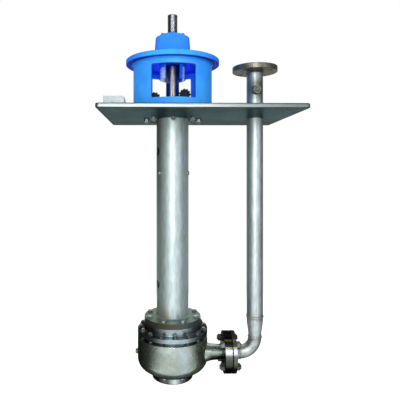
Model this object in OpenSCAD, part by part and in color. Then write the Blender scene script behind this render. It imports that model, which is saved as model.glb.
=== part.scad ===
// Vertical line-shaft pump for a sump, shown without its motor.
// The origin is on the shaft axis at the underside of the sole plate, +X runs
// towards the discharge riser and -Y is the front.

/* [Sole plate] */
// Distance from the shaft to the plate's left edge
plate_left = 248; // [240:1:320]
// Distance from the shaft to the plate's right edge
plate_right = 419; // [400:1:520]
// Distance from the shaft to the plate's front edge
plate_front = 306; // [290:1:380]
// Distance from the shaft to the plate's back edge
plate_back = 213; // [190:1:300]
// Thickness of the plate
plate_t = 15; // [12:1:25]
// Radius of the plate's corners
plate_corner_r = 12; // [6:1:20]
// Chamfer along the plate's edges
plate_edge = 2.5; // [0.5:0.5:4]
// Diameter of the anchor holes
anchor_d = 18; // [12:1:22]
// Spacing of the three anchor hole columns
anchor_pitch_x = 263.5; // [230:0.5:280]
// Spacing of the two anchor hole rows
anchor_pitch_y = 464; // [420:1:480]

/* [Instrument cover] */
// Length of the cover
cover_len = 71; // [50:1:80]
// Depth of the cover
cover_depth = 56; // [40:1:70]
// Height of the cover
cover_h = 28; // [18:1:45]
// Length of the sloping end, measured along the plate
cover_slope = 6; // [2:1:12]
// Thickness of the cover's sheet
cover_sheet = 2; // [1:0.5:3]
// Distance from the plate's left edge to the cover
cover_inset_x = 20; // [18:1:24]
// Distance from the plate's front edge to the cover
cover_inset_y = 44; // [42:1:70]
// Length of the cover's two fixing ears
ear_len = 15; // [12:1:16]
// Diameter of the cover's screws
cover_screw_d = 5; // [4:1:6]

/* [Lantern] */
// Outer diameter of the lantern's body
lantern_d = 295; // [290:1:310]
// Wall of the lantern's body
lantern_wall = 14; // [10:1:15]
// Height from the plate to the top of the motor flange
lantern_h = 202.5; // [195:0.5:240]
// Diameter of the motor flange
disc_d = 350; // [335:1:380]
// Thickness of the motor flange
disc_t = 17.5; // [15:0.5:25]
// Width of the two windows
window_w = 155; // [120:1:165]
// Height of the two windows
window_h = 117.5; // [100:0.5:125]
// Height of the window sill over the plate
window_sill = 46.5; // [38:0.5:50]
// Radius of the window corners
window_r = 4; // [2:1:20]
// Radius of the cast hollow under the motor flange
disc_fillet = 5; // [2:1:8]
// Thickness of the lantern's foot
foot_t = 18; // [12:1:22]
// Bore of the lantern's foot
foot_bore_d = 222; // [221:0.5:224]
// Pitch circle of the foot screws
foot_pcd = 245; // [243:1:247]
// Diameter of the foot screws
foot_screw_d = 10; // [8:1:10]
// Pitch circle of the motor's bolt holes
motor_pcd = 300; // [290:1:315]
// Diameter of the motor's tapped holes
motor_hole_d = 14; // [10:1:17]
// Diameter of the register that centres the motor
register_d = 250; // [230:1:260]
// Depth of the register
register_depth = 4.5; // [3:0.5:6]

/* [Bearing housing] */
// Height of the housing over the register's floor
housing_h = 87; // [84:1:110]
// Radius at the root of the housing's tapered body
housing_root_r = 70; // [67:0.5:71]
// Radius at the top of the housing's tapered body
housing_top_r = 64; // [58:0.5:65]
// Outer radius of the housing's flange
housing_flange_r = 92; // [90:1:105]
// Thickness of the housing's flange
housing_flange_t = 12; // [8:1:16]
// Radius of the housing's centring spigot in the lantern
neck_r = 51.5; // [50:0.5:56]
// Length of the centring spigot
neck_len = 3; // [2:0.5:6]
// Pitch circle of the housing screws
housing_pcd = 162; // [160:1:164]
// Diameter of the housing screws
housing_screw_d = 10; // [8:1:10]
// Thickness of the upper bearing cover
cap_t = 12.3; // [11.5:0.1:16]
// Height of the upper cover's straight edge
cap_edge_h = 5; // [3:0.5:6]
// Radius of the upper cover's flat top
cap_top_r = 51; // [50:0.5:53]
// Pitch circle of the upper cover's screws
cap_pcd = 86.6; // [86:0.1:88]
// Diameter of the upper cover's screws
cap_screw_d = 8; // [6:1:8]
// Length of the cover screws inside the housing
cap_screw_grip = 16; // [10:1:17]

/* [Lower bearing cover] */
// Thickness of the cover's flange
lower_cap_t = 10; // [9.5:0.5:14]
// Outer radius of the cover
lower_cap_r = 49.5; // [48:0.5:49.5]
// Length of the skirt that hangs below the motor flange
skirt_len = 53.5; // [44:0.5:60]
// Inner radius of the skirt
skirt_bore_r = 33; // [30:0.5:34]
// Width of the skirt's slot at the front
skirt_slot_w = 51; // [44:1:54]
// Depth of the spanner holes' middle below the cover's flange
spanner_drop = 35; // [20:1:38]
// Diameter of the two spanner holes
spanner_hole_d = 8; // [5:1:9]
// Pitch circle of the lower cover's screws
lower_screw_pcd = 85; // [84:0.5:86]
// Diameter of the lower cover's screws
lower_screw_d = 6; // [5:1:6]

/* [Bearings and seals] */
// Bore of the upper ball bearings
upper_bore = 40; // [40:0.5:40.5]
// Outer diameter of the upper ball bearings
upper_od = 68; // [67:0.5:69]
// Width of one upper ball bearing
upper_w = 15; // [14:0.5:16]
// Ball diameter of the upper ball bearings
upper_ball_d = 8.4; // [7.5:0.1:8.6]
// Bore of the lower ball bearing
lower_bore = 45; // [44:0.5:46]
// Outer diameter of the lower ball bearing
lower_od = 75; // [74:0.5:76]
// Width of the lower ball bearing
lower_w = 16; // [15:0.5:18]
// Ball diameter of the lower ball bearing
lower_ball_d = 8.7; // [7.5:0.1:9]
// Number of balls in one row
balls = 14; // [10:1:15]
// Width of the upper shaft seal
upper_seal_w = 7; // [5:0.5:7]
// Outer diameter of the upper shaft seal
upper_seal_od = 52; // [50:0.5:54]
// Width of the lower shaft seal
lower_seal_w = 8; // [6:0.5:8]
// Outer diameter of the lower shaft seal
lower_seal_od = 68; // [64:0.5:69]

/* [Rotor] */
// Diameter of the drive end
drive_d = 38; // [34:1:39]
// Height of the shaft's top over the upper bearing cover
drive_len = 80.2; // [60:0.1:110]
// Diameter of the shaft in the lantern and the column
shaft_d = 50; // [49:0.5:52]
// Width of the keyway in the drive end, on the side of the riser
key_w = 10; // [8:1:12]
// Length of the keyway
key_len = 50; // [36:1:54]
// Outer diameter of the shaft locknut
locknut_d = 58; // [54:0.5:59]
// Thickness of the shaft locknut
locknut_t = 10; // [8:0.5:10]
// Depth of the muff coupling's middle below the sole plate
coupling_depth = 123; // [110:1:128]
// Length of the muff coupling
coupling_len = 104; // [96:1:116]
// Outer diameter of the muff coupling
coupling_d = 80; // [76:1:82]
// Diameter of the coupling screws
coupling_screw_d = 8; // [6:1:8]
// Outer diameter of the sleeve in the column's bearing
spider_sleeve_d = 58; // [56:0.5:60]
// Outer diameter of the sleeve at the column's foot
guide_sleeve_d = 60; // [58:0.5:60]
// Diameter of the shaft under the lower sleeve
sleeve_seat_d = 46; // [44:0.5:47]
// Diameter of the shaft in the impeller
impeller_bore = 36; // [32:1:38]
// Outer diameter of the impeller
impeller_d = 180; // [160:1:184]
// Width of the impeller's outlet
outlet_w = 22; // [16:1:23]
// Thickness of the impeller's shrouds
shroud_t = 6; // [4:0.5:7]
// Depth of the impeller's and the outlet's middle below the casing's top
outlet_drop = 58; // [56:1:62]
// Depth of the impeller hub's top below the casing's top
hub_drop = 12; // [10:1:16]
// Length of the shaft's thread below the impeller
impeller_thread_len = 20; // [18:1:22]
// Height of the impeller nut's hexagon
impeller_nut_h = 18; // [12:1:18]
// Width across flats of the impeller nut
impeller_nut_w = 41; // [38:1:44]
// Number of impeller vanes
vanes = 6; // [4:1:8]
// Thickness of a vane
vane_t = 5; // [3:0.5:6]
// Inner diameter of the impeller's eye
eye_d = 68; // [64:1:70]
// Outer diameter of the impeller's neck ring
neck_ring_d = 84; // [80:1:86]
// Length of the impeller's neck ring
neck_ring_len = 18; // [14:1:20]

/* [Column] */
// Outer diameter of the column pipe
column_d = 121; // [118:0.5:123]
// Wall of the column pipe
column_wall = 5; // [4:0.5:6]
// Depth of the column's lower face below the sole plate
column_depth = 758; // [700:1:1200]
// Diameter of the column's top flange
top_flange_d = 220; // [218:1:221]
// Thickness of the column's top flange
top_flange_t = 16; // [14:1:18]
// Pitch circle of the column's top bolts
top_pcd = 196; // [192:1:197]
// Diameter of the bolts at both ends of the column
column_bolt_d = 12; // [10:1:12]
// Diameter of the column's lower flange
foot_flange_d = 212; // [208:1:216]
// Thickness of the column's lower flange
foot_flange_t = 20; // [16:1:24]
// Pitch circle of the column's lower bolts
foot_bolt_pcd = 184; // [178:1:186]
// Diameter of the two vent holes in the column
vent_d = 32; // [24:1:36]
// Height of the lower vent hole over the column's lower face
vent_height = 140; // [110:1:200]
// Angle of the vent holes, measured left from the front
vent_angle = 70; // [60:1:80]
// Leg of the weld beads at the flanges
weld_leg = 5; // [3:0.5:7]

/* [Guide bearings] */
// Depth of the upper guide bearing's middle below the sole plate
spider_depth = 203; // [195:1:400]
// Height of the upper guide bearing's ring
spider_h = 26; // [22:1:32]
// Wall of the upper guide bearing's ring
spider_wall = 11; // [10.5:0.5:11.5]
// Width of the upper guide bearing's three arms
spider_arm_w = 12; // [8:1:16]
// Outer diameter of the upper guide bush
spider_bush_d = 70; // [66:0.5:71]
// Wall of the upper guide bearing's hub
spider_hub_wall = 5; // [3.5:0.5:6]
// Outer diameter of the lower guide bush
guide_bush_d = 76; // [72:1:78]
// Length of the lower guide bush
guide_bush_len = 56; // [40:1:58]
// Height of the bearing bracket's hub over its flange
bracket_hub_h = 68; // [64:1:80]
// Thickness of the bearing bracket's flange
bracket_t = 8; // [6:1:12]

/* [Grease supply] */
// Outer diameter of the lubricators' ribbed caps
lube_cap_d = 46; // [38:1:46]
// Number of ribs on a cap
lube_ribs = 11; // [8:1:14]
// Length of a cap
lube_cap_len = 13; // [10:1:18]
// Diameter of a lubricator's body
lube_body_d = 38; // [30:1:38]
// Length of a lubricator's body
lube_body_len = 30; // [22:1:32]
// Diameter of the fittings' standpipes
lube_pipe_d = 12; // [10:1:13]
// Outer diameter of the grease tubes
tube_d = 8; // [6:0.5:8]

/* [Pump casing] */
// Outer diameter of the casing
casing_d = 262; // [260:1:268]
// Gap between the casing cover's flange and the casing
stud_gap = 12; // [8:1:16]
// Thickness of the casing cover's hub
hub_t = 18; // [16:1:24]
// Thickness of the casing cover's flange
cover_flange_t = 14; // [12:1:18]
// Height of the casing
casing_h = 123; // [121:1:128]
// Radius of the casing's rounded shoulder
bowl_r = 41; // [34:1:42]
// Wall of the casing
casing_wall = 10; // [8:0.5:12]
// Thickness of the casing's upper land
casing_land = 32; // [30:1:34]
// Diameter of the casing's bore for the cover's spigot
spigot_d = 216; // [212:1:218]
// Length of the cover's spigot inside the casing
spigot_len = 16; // [14:1:20]
// Gap between the impeller's shrouds and the covers
shroud_gap = 4; // [3:0.5:5]
// Pitch circle of the cover studs
stud_pcd = 240; // [238:1:241]
// Number of cover studs
studs = 16; // [8:2:18]
// Diameter of the cover studs
stud_d = 10; // [8:1:10]
// Angle of the first cover stud off the front
stud_turn = 2.5; // [0:0.5:10]
// Diameter of the casing plug
plug_d = 19; // [14:1:22]
// Depth of the casing plug below the casing's top
plug_drop = 64; // [56:1:70]

/* [Suction] */
// Diameter of the suction flange
suction_d = 152; // [148:1:156]
// Thickness of the suction flange
suction_t = 20; // [16:1:24]
// Diameter of the suction inlet
suction_bore = 65; // [58:1:67]
// Pitch circle of the suction flange's holes
suction_pcd = 120; // [116:1:124]
// Diameter of the suction flange's holes
suction_hole_d = 14; // [10:1:14]
// Diameter of the suction cover
suction_cover_d = 190; // [188:1:196]
// Thickness of the suction cover's plate
suction_plate_t = 6; // [5:0.5:8]
// Height of the neck between the plate and the suction flange
suction_neck_h = 8; // [6:1:12]
// Pitch circle of the suction cover's screws
suction_screw_pcd = 172; // [170:1:174]
// Diameter of the suction cover's screws
suction_screw_d = 8; // [6:1:8]

/* [Discharge] */
// Distance from the shaft to the riser
riser_x = 306; // [296:1:330]
// Offset of the discharge line towards the front
riser_y = 26; // [0:1:34]
// Outer diameter of the riser
riser_d = 60.3; // [58:0.1:62]
// Outer diameter of the elbow
elbow_d = 48.3; // [45:0.1:50]
// Radius of the elbow's centre line
elbow_r = 57; // [50:1:62]
// Wall of the elbow, the reducer and the riser
pipe_wall = 3; // [2:0.5:4]
// Length of the reducer
reducer_len = 76; // [60:1:90]
// Height of the riser's top over the sole plate's underside
riser_top = 192; // [150:1:240]
// Diameter of the riser's flange
riser_flange_d = 165; // [160:1:170]
// Thickness of the riser's flange
riser_flange_t = 20; // [16:1:24]
// Pitch circle of the riser's flange
riser_pcd = 125; // [120:1:130]
// Height of the gauge socket's middle over the sole plate's underside
socket_z = 102; // [60:1:140]
// Outer diameter of the gauge socket
socket_d = 28; // [22:1:32]
// Distance from the riser's wall to the socket's face
socket_len = 13; // [9:1:18]
// Diameter of the holes in the discharge flanges
flange_hole_d = 18; // [16:1:18]
// Diameter of the two flanges at the casing's outlet
outlet_flange_d = 150; // [146:1:154]
// Thickness of the casing's outlet flange
outlet_flange_t = 25; // [20:1:28]
// Thickness of the elbow's flange
elbow_flange_t = 14; // [12:1:18]
// Length of the elbow flange's welding neck
weld_neck_len = 19; // [14:1:24]
// Pitch circle of the outlet studs
outlet_pcd = 110; // [106:1:112]
// Diameter of the outlet studs
outlet_stud_d = 16; // [12:1:16]
// Height of the raised faces
raised_h = 1; // [0.5:0.5:2]
// Diameter of the raised faces
raised_d = 88; // [80:1:90]
// Thickness of the discharge gasket
gasket_t = 2; // [1:0.5:3]

/* [Clearances] */
// Radial gap between fixed round pieces
fit_gap = 0.1; // [0.05:0.05:0.2]
// Radial running gap of bushes, seals and sleeves
run_gap = 0.05; // [0.02:0.01:0.08]
// Gap round rolling and rotating pieces
roll_gap = 0.3; // [0.25:0.05:0.4]
// Extra radius of bolt holes
hole_gap = 0.75; // [0.5:0.25:1]

/* [Hidden] */
$fn = 64;

// The front is at -90 degrees when angles count from +X.
front = -90;
eps = 0.01;
// Far enough to cut through any wall
through = 2000;

// Heights, from the top of the plate up to the end of the shaft
disc_top_z = plate_t + lantern_h;
disc_low_z = disc_top_z - disc_t;
register_z = disc_top_z - register_depth;
housing_top_z = register_z + housing_h;
cap_top_z = housing_top_z + cap_t;
shaft_top_z = cap_top_z + drive_len;
neck_low_z = register_z - neck_len;
lower_cap_z = neck_low_z - lower_cap_t;

// The stack of rolling bearings
cap_nose = 8;
lower_cap_nose = 5;
upper_rings_top_z = housing_top_z - cap_nose;
upper_rings_z = upper_rings_top_z - 2 * upper_w;
lower_ring_z = neck_low_z + lower_cap_nose;
locknut_top_z = upper_rings_top_z + locknut_t;

// Heights down the column
column_z = -column_depth;
foot_flange_z = column_z + foot_flange_t;
column_bore = column_d - 2 * column_wall;
column_top_z = plate_t + top_flange_t;
coupling_z = -coupling_depth;
spider_z = -spider_depth;
bracket_z = column_z - bracket_t;
bracket_top_z = column_z + bracket_hub_h;

// Heights of the casing
hub_z = bracket_z - hub_t;
cover_flange_z = hub_z - cover_flange_t;
casing_top_z = cover_flange_z - stud_gap;
casing_z = casing_top_z - casing_h;
bowl_z = casing_z + bowl_r;
suction_plate_z = casing_z - suction_plate_t;
suction_top_z = suction_plate_z - suction_neck_h;
suction_z = suction_top_z - suction_t;

// The impeller stands over the suction cover
outlet_z = casing_top_z - outlet_drop;
outlet_top_z = outlet_z + outlet_w / 2;
outlet_low_z = outlet_z - outlet_w / 2;
impeller_top_z = casing_top_z - hub_drop;
back_shroud_z = outlet_top_z + shroud_t;
front_shroud_z = outlet_low_z - shroud_t;
neck_ring_z = front_shroud_z - neck_ring_len;
impeller_hub_z = outlet_top_z - 9;
shaft_low_z = impeller_hub_z - impeller_thread_len;

// The discharge line
nozzle_z = outlet_z;
outlet_flange_x = 187;
outlet_face_x = outlet_flange_x + outlet_flange_t + raised_h;
elbow_face_x = outlet_face_x + gasket_t;
elbow_neck_x = elbow_face_x + raised_h + elbow_flange_t;
elbow_x = riser_x - elbow_r;
elbow_bore = elbow_d - 2 * pipe_wall;
riser_bore = riser_d - 2 * pipe_wall;
elbow_top_z = nozzle_z + elbow_r;
reducer_top_z = elbow_top_z + reducer_len;
nozzle_r = elbow_d / 2 + 1.5;

// Seats on the shaft
drive_r = drive_d / 2;
seal_seat_r = drive_r + 0.5;
shoulder_z = cap_top_z + 1;
shaft_r = shaft_d / 2;
sleeve_top_z = bracket_top_z + 4;
sleeve_low_z = impeller_top_z;
hub_r = guide_sleeve_d / 2;
spider_sleeve_r = spider_sleeve_d / 2;
spider_sleeve_h = spider_h + 14;
key_depth = 5;
key_z = shaft_top_z - 6 - key_len;
screw_thread_gap = fit_gap;

// Places of the anchor holes, centred on the plate
plate_mid_x = (plate_right - plate_left) / 2;
plate_mid_y = (plate_back - plate_front) / 2;

// The instrument cover's place on the plate
cover_x = cover_inset_x - plate_left;
cover_y = cover_inset_y - plate_front;

// Bolt pattern angles
upper_turn = front;
half_foot_turn = 22.5;

// The two lubricators: place of the cap's face, and the outlet behind the body
lubes = [[48, 20, 98], [-68, -10, 79]];
lube_neck_len = 4;
lube_block = 15;
lube_outlet = lube_cap_len + lube_body_len + lube_neck_len + lube_block / 2;
tube_ring_r = column_bore / 2 - 2 - tube_d / 2;
passage_z = plate_t + top_flange_t / 2;
passage_d = 5;
lube_seat_depth = 6;

function lube_angle(l) = atan2(l[1] + lube_outlet, l[0]);
function lube_radius(l) = norm([l[0], l[1] + lube_outlet]);

// Width across flats of a hexagon for a thread
function flats(d) = d <= 5 ? 8 : d <= 6 ? 10 : d <= 8 ? 13 : d <= 10 ? 16 : d <= 12 ? 18 : 24;

module ring_of(count, radius, turn = 0) {
    for (i = [0:count - 1])
        rotate([0, 0, turn + i * 360 / count]) translate([radius, 0, 0]) children();
}

module tube(outer_r, inner_r, low, high) {
    difference() {
        translate([0, 0, low]) cylinder(r = outer_r, h = high - low);
        translate([0, 0, low - 1]) cylinder(r = inner_r, h = high - low + 2);
    }
}

module post(radius, low, high) {
    translate([0, 0, low]) cylinder(r = radius, h = high - low);
}

// A hexagon with its upper corners turned off, standing on z = 0
module hexagon(across, height) {
    corner_r = across / sqrt(3);
    intersection() {
        cylinder(r = corner_r, h = height, $fn = 6);
        rotate_extrude()
            polygon([[0, 0], [corner_r, 0], [corner_r, height - 0.25 * (corner_r - across / 2) * 2],
                [across / 2 * 0.97, height], [0, height]]);
    }
}

// Hexagon head on z = 0 with its shank below
module hex_bolt(d, shank) {
    hexagon(flats(d), 0.65 * d);
    translate([0, 0, -shank]) cylinder(d = d, h = shank + eps);
}

// Cheese head with a hexagon socket, on z = 0 with its shank below
module socket_screw(d, shank) {
    difference() {
        cylinder(d = 1.5 * d, h = d);
        translate([0, 0, d / 2]) cylinder(d = 0.92 * d, h = d, $fn = 6);
    }
    translate([0, 0, -shank]) cylinder(d = d, h = shank + eps);
}

module hex_nut(d) {
    difference() {
        hexagon(flats(d), 0.85 * d);
        translate([0, 0, -1]) cylinder(r = d / 2 + screw_thread_gap, h = d + 2);
    }
}

module rounded_outline(width, height, radius) {
    translate([-width / 2 + radius, 0]) square([width - 2 * radius, height]);
    translate([-width / 2, radius]) square([width, height - 2 * radius]);
    for (x = [-1, 1], y = [0, 1])
        translate([x * (width / 2 - radius), y == 0 ? radius : height - radius])
            circle(r = radius);
}

// Sole plate

module edge_disc(radius, height, edge) {
    cylinder(r1 = radius - edge, r2 = radius, h = edge, $fn = 32);
    translate([0, 0, edge]) cylinder(r = radius, h = height - 2 * edge, $fn = 32);
    translate([0, 0, height - edge]) cylinder(r1 = radius, r2 = radius - edge, h = edge, $fn = 32);
}

module anchor_places() {
    for (x = [-1, 0, 1], y = [-0.5, 0.5])
        translate([plate_mid_x + x * anchor_pitch_x, plate_mid_y + y * anchor_pitch_y, 0])
            children();
}

module sole_plate() {
    color("silver") difference() {
        hull()
            for (x = [plate_corner_r - plate_left, plate_right - plate_corner_r],
                y = [plate_corner_r - plate_front, plate_back - plate_corner_r])
                translate([x, y, 0]) edge_disc(plate_corner_r, plate_t, plate_edge);
        post(column_d / 2 + hole_gap, -1, plate_t + 1);
        translate([riser_x, -riser_y, 0]) post(grommet_r, -1, plate_t + 1);
        anchor_places() post(anchor_d / 2, -1, plate_t + 1);
        ring_of(8, top_pcd / 2, front) post(column_bolt_d / 2 + hole_gap, -1, plate_t + 1);
        ring_of(8, foot_pcd / 2, front + half_foot_turn)
            post(foot_screw_d / 2 + screw_thread_gap, 1, plate_t + 1);
        for (x = ear_screw_x) translate([x, cover_y + cover_depth / 2, 0])
            post(cover_screw_d / 2 + screw_thread_gap, plate_t - 10, plate_t + 1);
    }
}

// Instrument cover

ear_screw_x = [cover_x - ear_len / 2, cover_x + cover_len + ear_len / 2];

module cover_outline(inset) {
    polygon([[cover_x + inset, plate_t - (inset > 0 ? 1 : 0)],
        [cover_x + cover_len - inset, plate_t - (inset > 0 ? 1 : 0)],
        [cover_x + cover_len - cover_slope - inset, plate_t + cover_h - inset],
        [cover_x + inset, plate_t + cover_h - inset]]);
}

module instrument_cover() {
    color("silver") difference() {
        union() {
            translate([0, cover_y + cover_depth, 0]) rotate([90, 0, 0])
                linear_extrude(height = cover_depth) cover_outline(0);
            translate([cover_x - ear_len, cover_y + cover_depth / 4, plate_t])
                cube([cover_len + 2 * ear_len, cover_depth / 2, cover_sheet]);
        }
        translate([0, cover_y + cover_depth - cover_sheet, 0]) rotate([90, 0, 0])
            linear_extrude(height = cover_depth - 2 * cover_sheet) cover_outline(cover_sheet);
        for (x = ear_screw_x) translate([x, cover_y + cover_depth / 2, 0])
            post(cover_screw_d / 2 + hole_gap / 2, plate_t - 1, plate_t + cover_sheet + 1);
    }
}

module instrument_screws() {
    color("gainsboro")
        for (x = ear_screw_x) translate([x, cover_y + cover_depth / 2, plate_t + cover_sheet])
            hex_bolt(cover_screw_d, 10);
}

// Lantern

module window_cut() {
    translate([0, 0, plate_t + window_sill]) rotate([90, 0, 0])
        linear_extrude(height = disc_d, center = true)
            rounded_outline(window_w, window_h, window_r);
}

module lantern() {
    body_r = lantern_d / 2;
    inner_r = body_r - lantern_wall;
    color("dodgerblue") difference() {
        rotate_extrude() polygon([
            [foot_bore_d / 2, plate_t], [body_r, plate_t],
            [body_r, disc_low_z - disc_fillet], [body_r + disc_fillet, disc_low_z],
            [disc_d / 2 - 1.5, disc_low_z], [disc_d / 2, disc_low_z + 1.5],
            [disc_d / 2, disc_top_z - 1.5], [disc_d / 2 - 1.5, disc_top_z],
            [register_d / 2, disc_top_z], [register_d / 2, register_z],
            [neck_r + fit_gap, register_z], [neck_r + fit_gap, disc_low_z],
            [inner_r - disc_fillet, disc_low_z], [inner_r, disc_low_z - disc_fillet],
            [inner_r, plate_t + foot_t], [foot_bore_d / 2, plate_t + foot_t]]);
        window_cut();
        ring_of(8, foot_pcd / 2, front + half_foot_turn)
            post(foot_screw_d / 2 + hole_gap, plate_t - 1, plate_t + foot_t + 1);
        ring_of(4, motor_pcd / 2, 45) post(motor_hole_d / 2, disc_low_z, disc_top_z + 1);
        ring_of(6, housing_pcd / 2, 0)
            post(housing_screw_d / 2 + screw_thread_gap, disc_low_z - 1, disc_top_z);
    }
}

module lantern_screws() {
    color("dimgray") ring_of(8, foot_pcd / 2, front + half_foot_turn)
        translate([0, 0, plate_t + foot_t]) socket_screw(foot_screw_d, foot_t + plate_t - 2);
}

// Bearing housing

module bearing_housing() {
    seat_r = upper_od / 2 + fit_gap;
    lower_r = lower_od / 2 + fit_gap;
    mid_r = upper_od / 2 - 3.5;
    flange_top = register_z + housing_flange_t;
    ring_stop_z = lower_ring_z + lower_w;
    color("dodgerblue") difference() {
        rotate_extrude() polygon([
            [lower_r, neck_low_z], [neck_r, neck_low_z], [neck_r, register_z],
            [housing_flange_r, register_z], [housing_flange_r, flange_top - 2],
            [housing_flange_r - 2, flange_top], [housing_root_r + 1, flange_top],
            [housing_root_r - 0.5, flange_top + 3], [housing_top_r, housing_top_z],
            [seat_r, housing_top_z], [seat_r, upper_rings_z], [mid_r, upper_rings_z],
            [mid_r, ring_stop_z], [lower_r, ring_stop_z]]);
        ring_of(6, housing_pcd / 2, 0)
            post(housing_screw_d / 2 + hole_gap, register_z - 1, flange_top + 1);
        ring_of(6, cap_pcd / 2, upper_turn)
            post(cap_screw_d / 2 + screw_thread_gap, housing_top_z - cap_screw_grip - 4,
                housing_top_z + 1);
        lower_screw_places()
            post(lower_screw_d / 2 + screw_thread_gap, neck_low_z - 1,
                neck_low_z + cap_screw_grip + 2);
    }
}

module housing_screws() {
    color("dimgray") ring_of(6, housing_pcd / 2, 0)
        translate([0, 0, register_z + housing_flange_t])
            socket_screw(housing_screw_d, housing_flange_t + disc_t - register_depth - 1);
}

module upper_bearing_cover() {
    nose_r = upper_od / 2;
    pocket_r = locknut_d / 2 + 1.5;
    seal_r = upper_seal_od / 2 + fit_gap;
    pocket_top = locknut_top_z + 1.3;
    color("dodgerblue") difference() {
        rotate_extrude() polygon([
            [pocket_r, upper_rings_top_z], [nose_r, upper_rings_top_z],
            [nose_r, housing_top_z], [housing_top_r, housing_top_z],
            [housing_top_r - 1, housing_top_z + cap_edge_h], [cap_top_r, cap_top_z],
            [seal_r, cap_top_z], [seal_r, pocket_top], [pocket_r, pocket_top]]);
        ring_of(6, cap_pcd / 2, upper_turn)
            post(cap_screw_d / 2 + hole_gap / 2, housing_top_z - 1, cap_top_z + 1);
    }
}

module upper_cover_screws() {
    color("dodgerblue") ring_of(6, cap_pcd / 2, upper_turn)
        translate([0, 0, cap_top_z]) hex_bolt(cap_screw_d, cap_t + cap_screw_grip);
}

module upper_seal() {
    top = cap_top_z - 0.8;
    color("black") rotate_extrude() polygon([
        [seal_seat_r + run_gap, top - upper_seal_w], [upper_seal_od / 2, top - upper_seal_w],
        [upper_seal_od / 2, top], [seal_seat_r + 3, top], [seal_seat_r + 3, top - 2],
        [seal_seat_r + run_gap, top - 2.5]]);
}

// The slot leaves no room for screws at the front
module lower_screw_places() {
    for (angle = [0, 60, 120, 180])
        rotate([0, 0, angle]) translate([lower_screw_pcd / 2, 0, 0]) children();
}

module lower_bearing_cover() {
    nose_r = lower_od / 2;
    seal_r = lower_seal_od / 2 + fit_gap;
    lip_z = neck_low_z - lower_seal_w;
    skirt_z = lower_cap_z - skirt_len;
    color("gainsboro") difference() {
        rotate_extrude() polygon([
            [skirt_bore_r, skirt_z], [lower_cap_r - 2, skirt_z], [lower_cap_r, skirt_z + 2],
            [lower_cap_r, neck_low_z], [nose_r, neck_low_z], [nose_r, lower_ring_z],
            [seal_r, lower_ring_z], [seal_r, lip_z], [shaft_r + 1, lip_z],
            [shaft_r + 1, lower_cap_z], [skirt_bore_r, lower_cap_z]]);
        translate([-skirt_slot_w / 2, -2 * lower_cap_r, skirt_z - 1])
            cube([skirt_slot_w, 2 * lower_cap_r, skirt_len + 1]);
        lower_screw_places() {
            post(lower_screw_d / 2 + hole_gap / 2, skirt_z - 1, neck_low_z + 1);
            post(lower_screw_d * 0.75 + hole_gap, skirt_z - 1, lower_cap_z);
        }
        for (side = [-1, 1]) translate([0, 0, lower_cap_z - spanner_drop])
            rotate([0, 90, front + side * 60]) cylinder(d = spanner_hole_d, h = 2 * lower_cap_r);
    }
}

module lower_cover_screws() {
    color("gainsboro") lower_screw_places() translate([0, 0, lower_cap_z])
        rotate([180, 0, 0]) socket_screw(lower_screw_d, lower_cap_t + cap_screw_grip);
}

module lower_seal() {
    low = neck_low_z - lower_seal_w;
    color("black") rotate_extrude() polygon([
        [shaft_r + run_gap, low], [lower_seal_od / 2, low],
        [lower_seal_od / 2, neck_low_z], [shaft_r + 3, neck_low_z],
        [shaft_r + 3, low + 2.5], [shaft_r + run_gap, low + 2]]);
}

// Rolling bearings, whose low face stands on z = 0

function pitch_r(bore, od) = (bore + od) / 4;

module outer_ring(bore, od, w, ball_d) {
    pitch = pitch_r(bore, od);
    rotate_extrude() difference() {
        translate([pitch + ball_d / 4, 0]) square([od / 2 - pitch - ball_d / 4, w]);
        translate([pitch, w / 2]) circle(r = ball_d / 2 + roll_gap);
    }
}

module inner_ring(bore, od, w, ball_d) {
    pitch = pitch_r(bore, od);
    rotate_extrude() difference() {
        translate([bore / 2 + fit_gap / 2, 0])
            square([pitch - ball_d / 4 - bore / 2 - fit_gap / 2, w]);
        translate([pitch, w / 2]) circle(r = ball_d / 2 + roll_gap);
    }
}

module ball_set(bore, od, w, ball_d) {
    pitch = pitch_r(bore, od);
    cage_t = ball_d / 2 - 2 * roll_gap;
    difference() {
        translate([0, 0, 1]) tube(pitch + cage_t / 2, pitch - cage_t / 2, 0, w - 2);
        ring_of(balls, pitch - cage_t) translate([0, 0, w / 2]) rotate([0, 90, 0])
            cylinder(r = ball_d / 2 + fit_gap, h = 2 * cage_t);
    }
    ring_of(balls, pitch) translate([0, 0, w / 2]) sphere(d = ball_d, $fn = 32);
}

module upper_pair() {
    for (i = [0, 1]) translate([0, 0, upper_rings_z + i * upper_w]) children();
}

module upper_outer_rings() {
    color("lightgray") upper_pair() outer_ring(upper_bore, upper_od, upper_w, upper_ball_d);
}

module upper_inner_rings() {
    color("lightgray") upper_pair() inner_ring(upper_bore, upper_od, upper_w, upper_ball_d);
}

module upper_ball_sets() {
    color("darkgoldenrod") upper_pair() ball_set(upper_bore, upper_od, upper_w, upper_ball_d);
}

module lower_outer_ring() {
    color("lightgray") translate([0, 0, lower_ring_z])
        outer_ring(lower_bore, lower_od, lower_w, lower_ball_d);
}

module lower_inner_ring() {
    color("lightgray") translate([0, 0, lower_ring_z])
        inner_ring(lower_bore, lower_od, lower_w, lower_ball_d);
}

module lower_ball_set() {
    color("darkgoldenrod") translate([0, 0, lower_ring_z])
        ball_set(lower_bore, lower_od, lower_w, lower_ball_d);
}

// Grease supply

module lube_axis(l) {
    translate(l) rotate([-90, 0, 0]) children();
}

module lubricator_caps() {
    rib = lube_cap_d * 0.075;
    color("black") for (l = lubes) lube_axis(l) linear_extrude(height = lube_cap_len) {
        circle(r = lube_cap_d / 2 - rib);
        ring_of(lube_ribs, lube_cap_d / 2 - rib) circle(r = rib, $fn = 24);
    }
}

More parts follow.
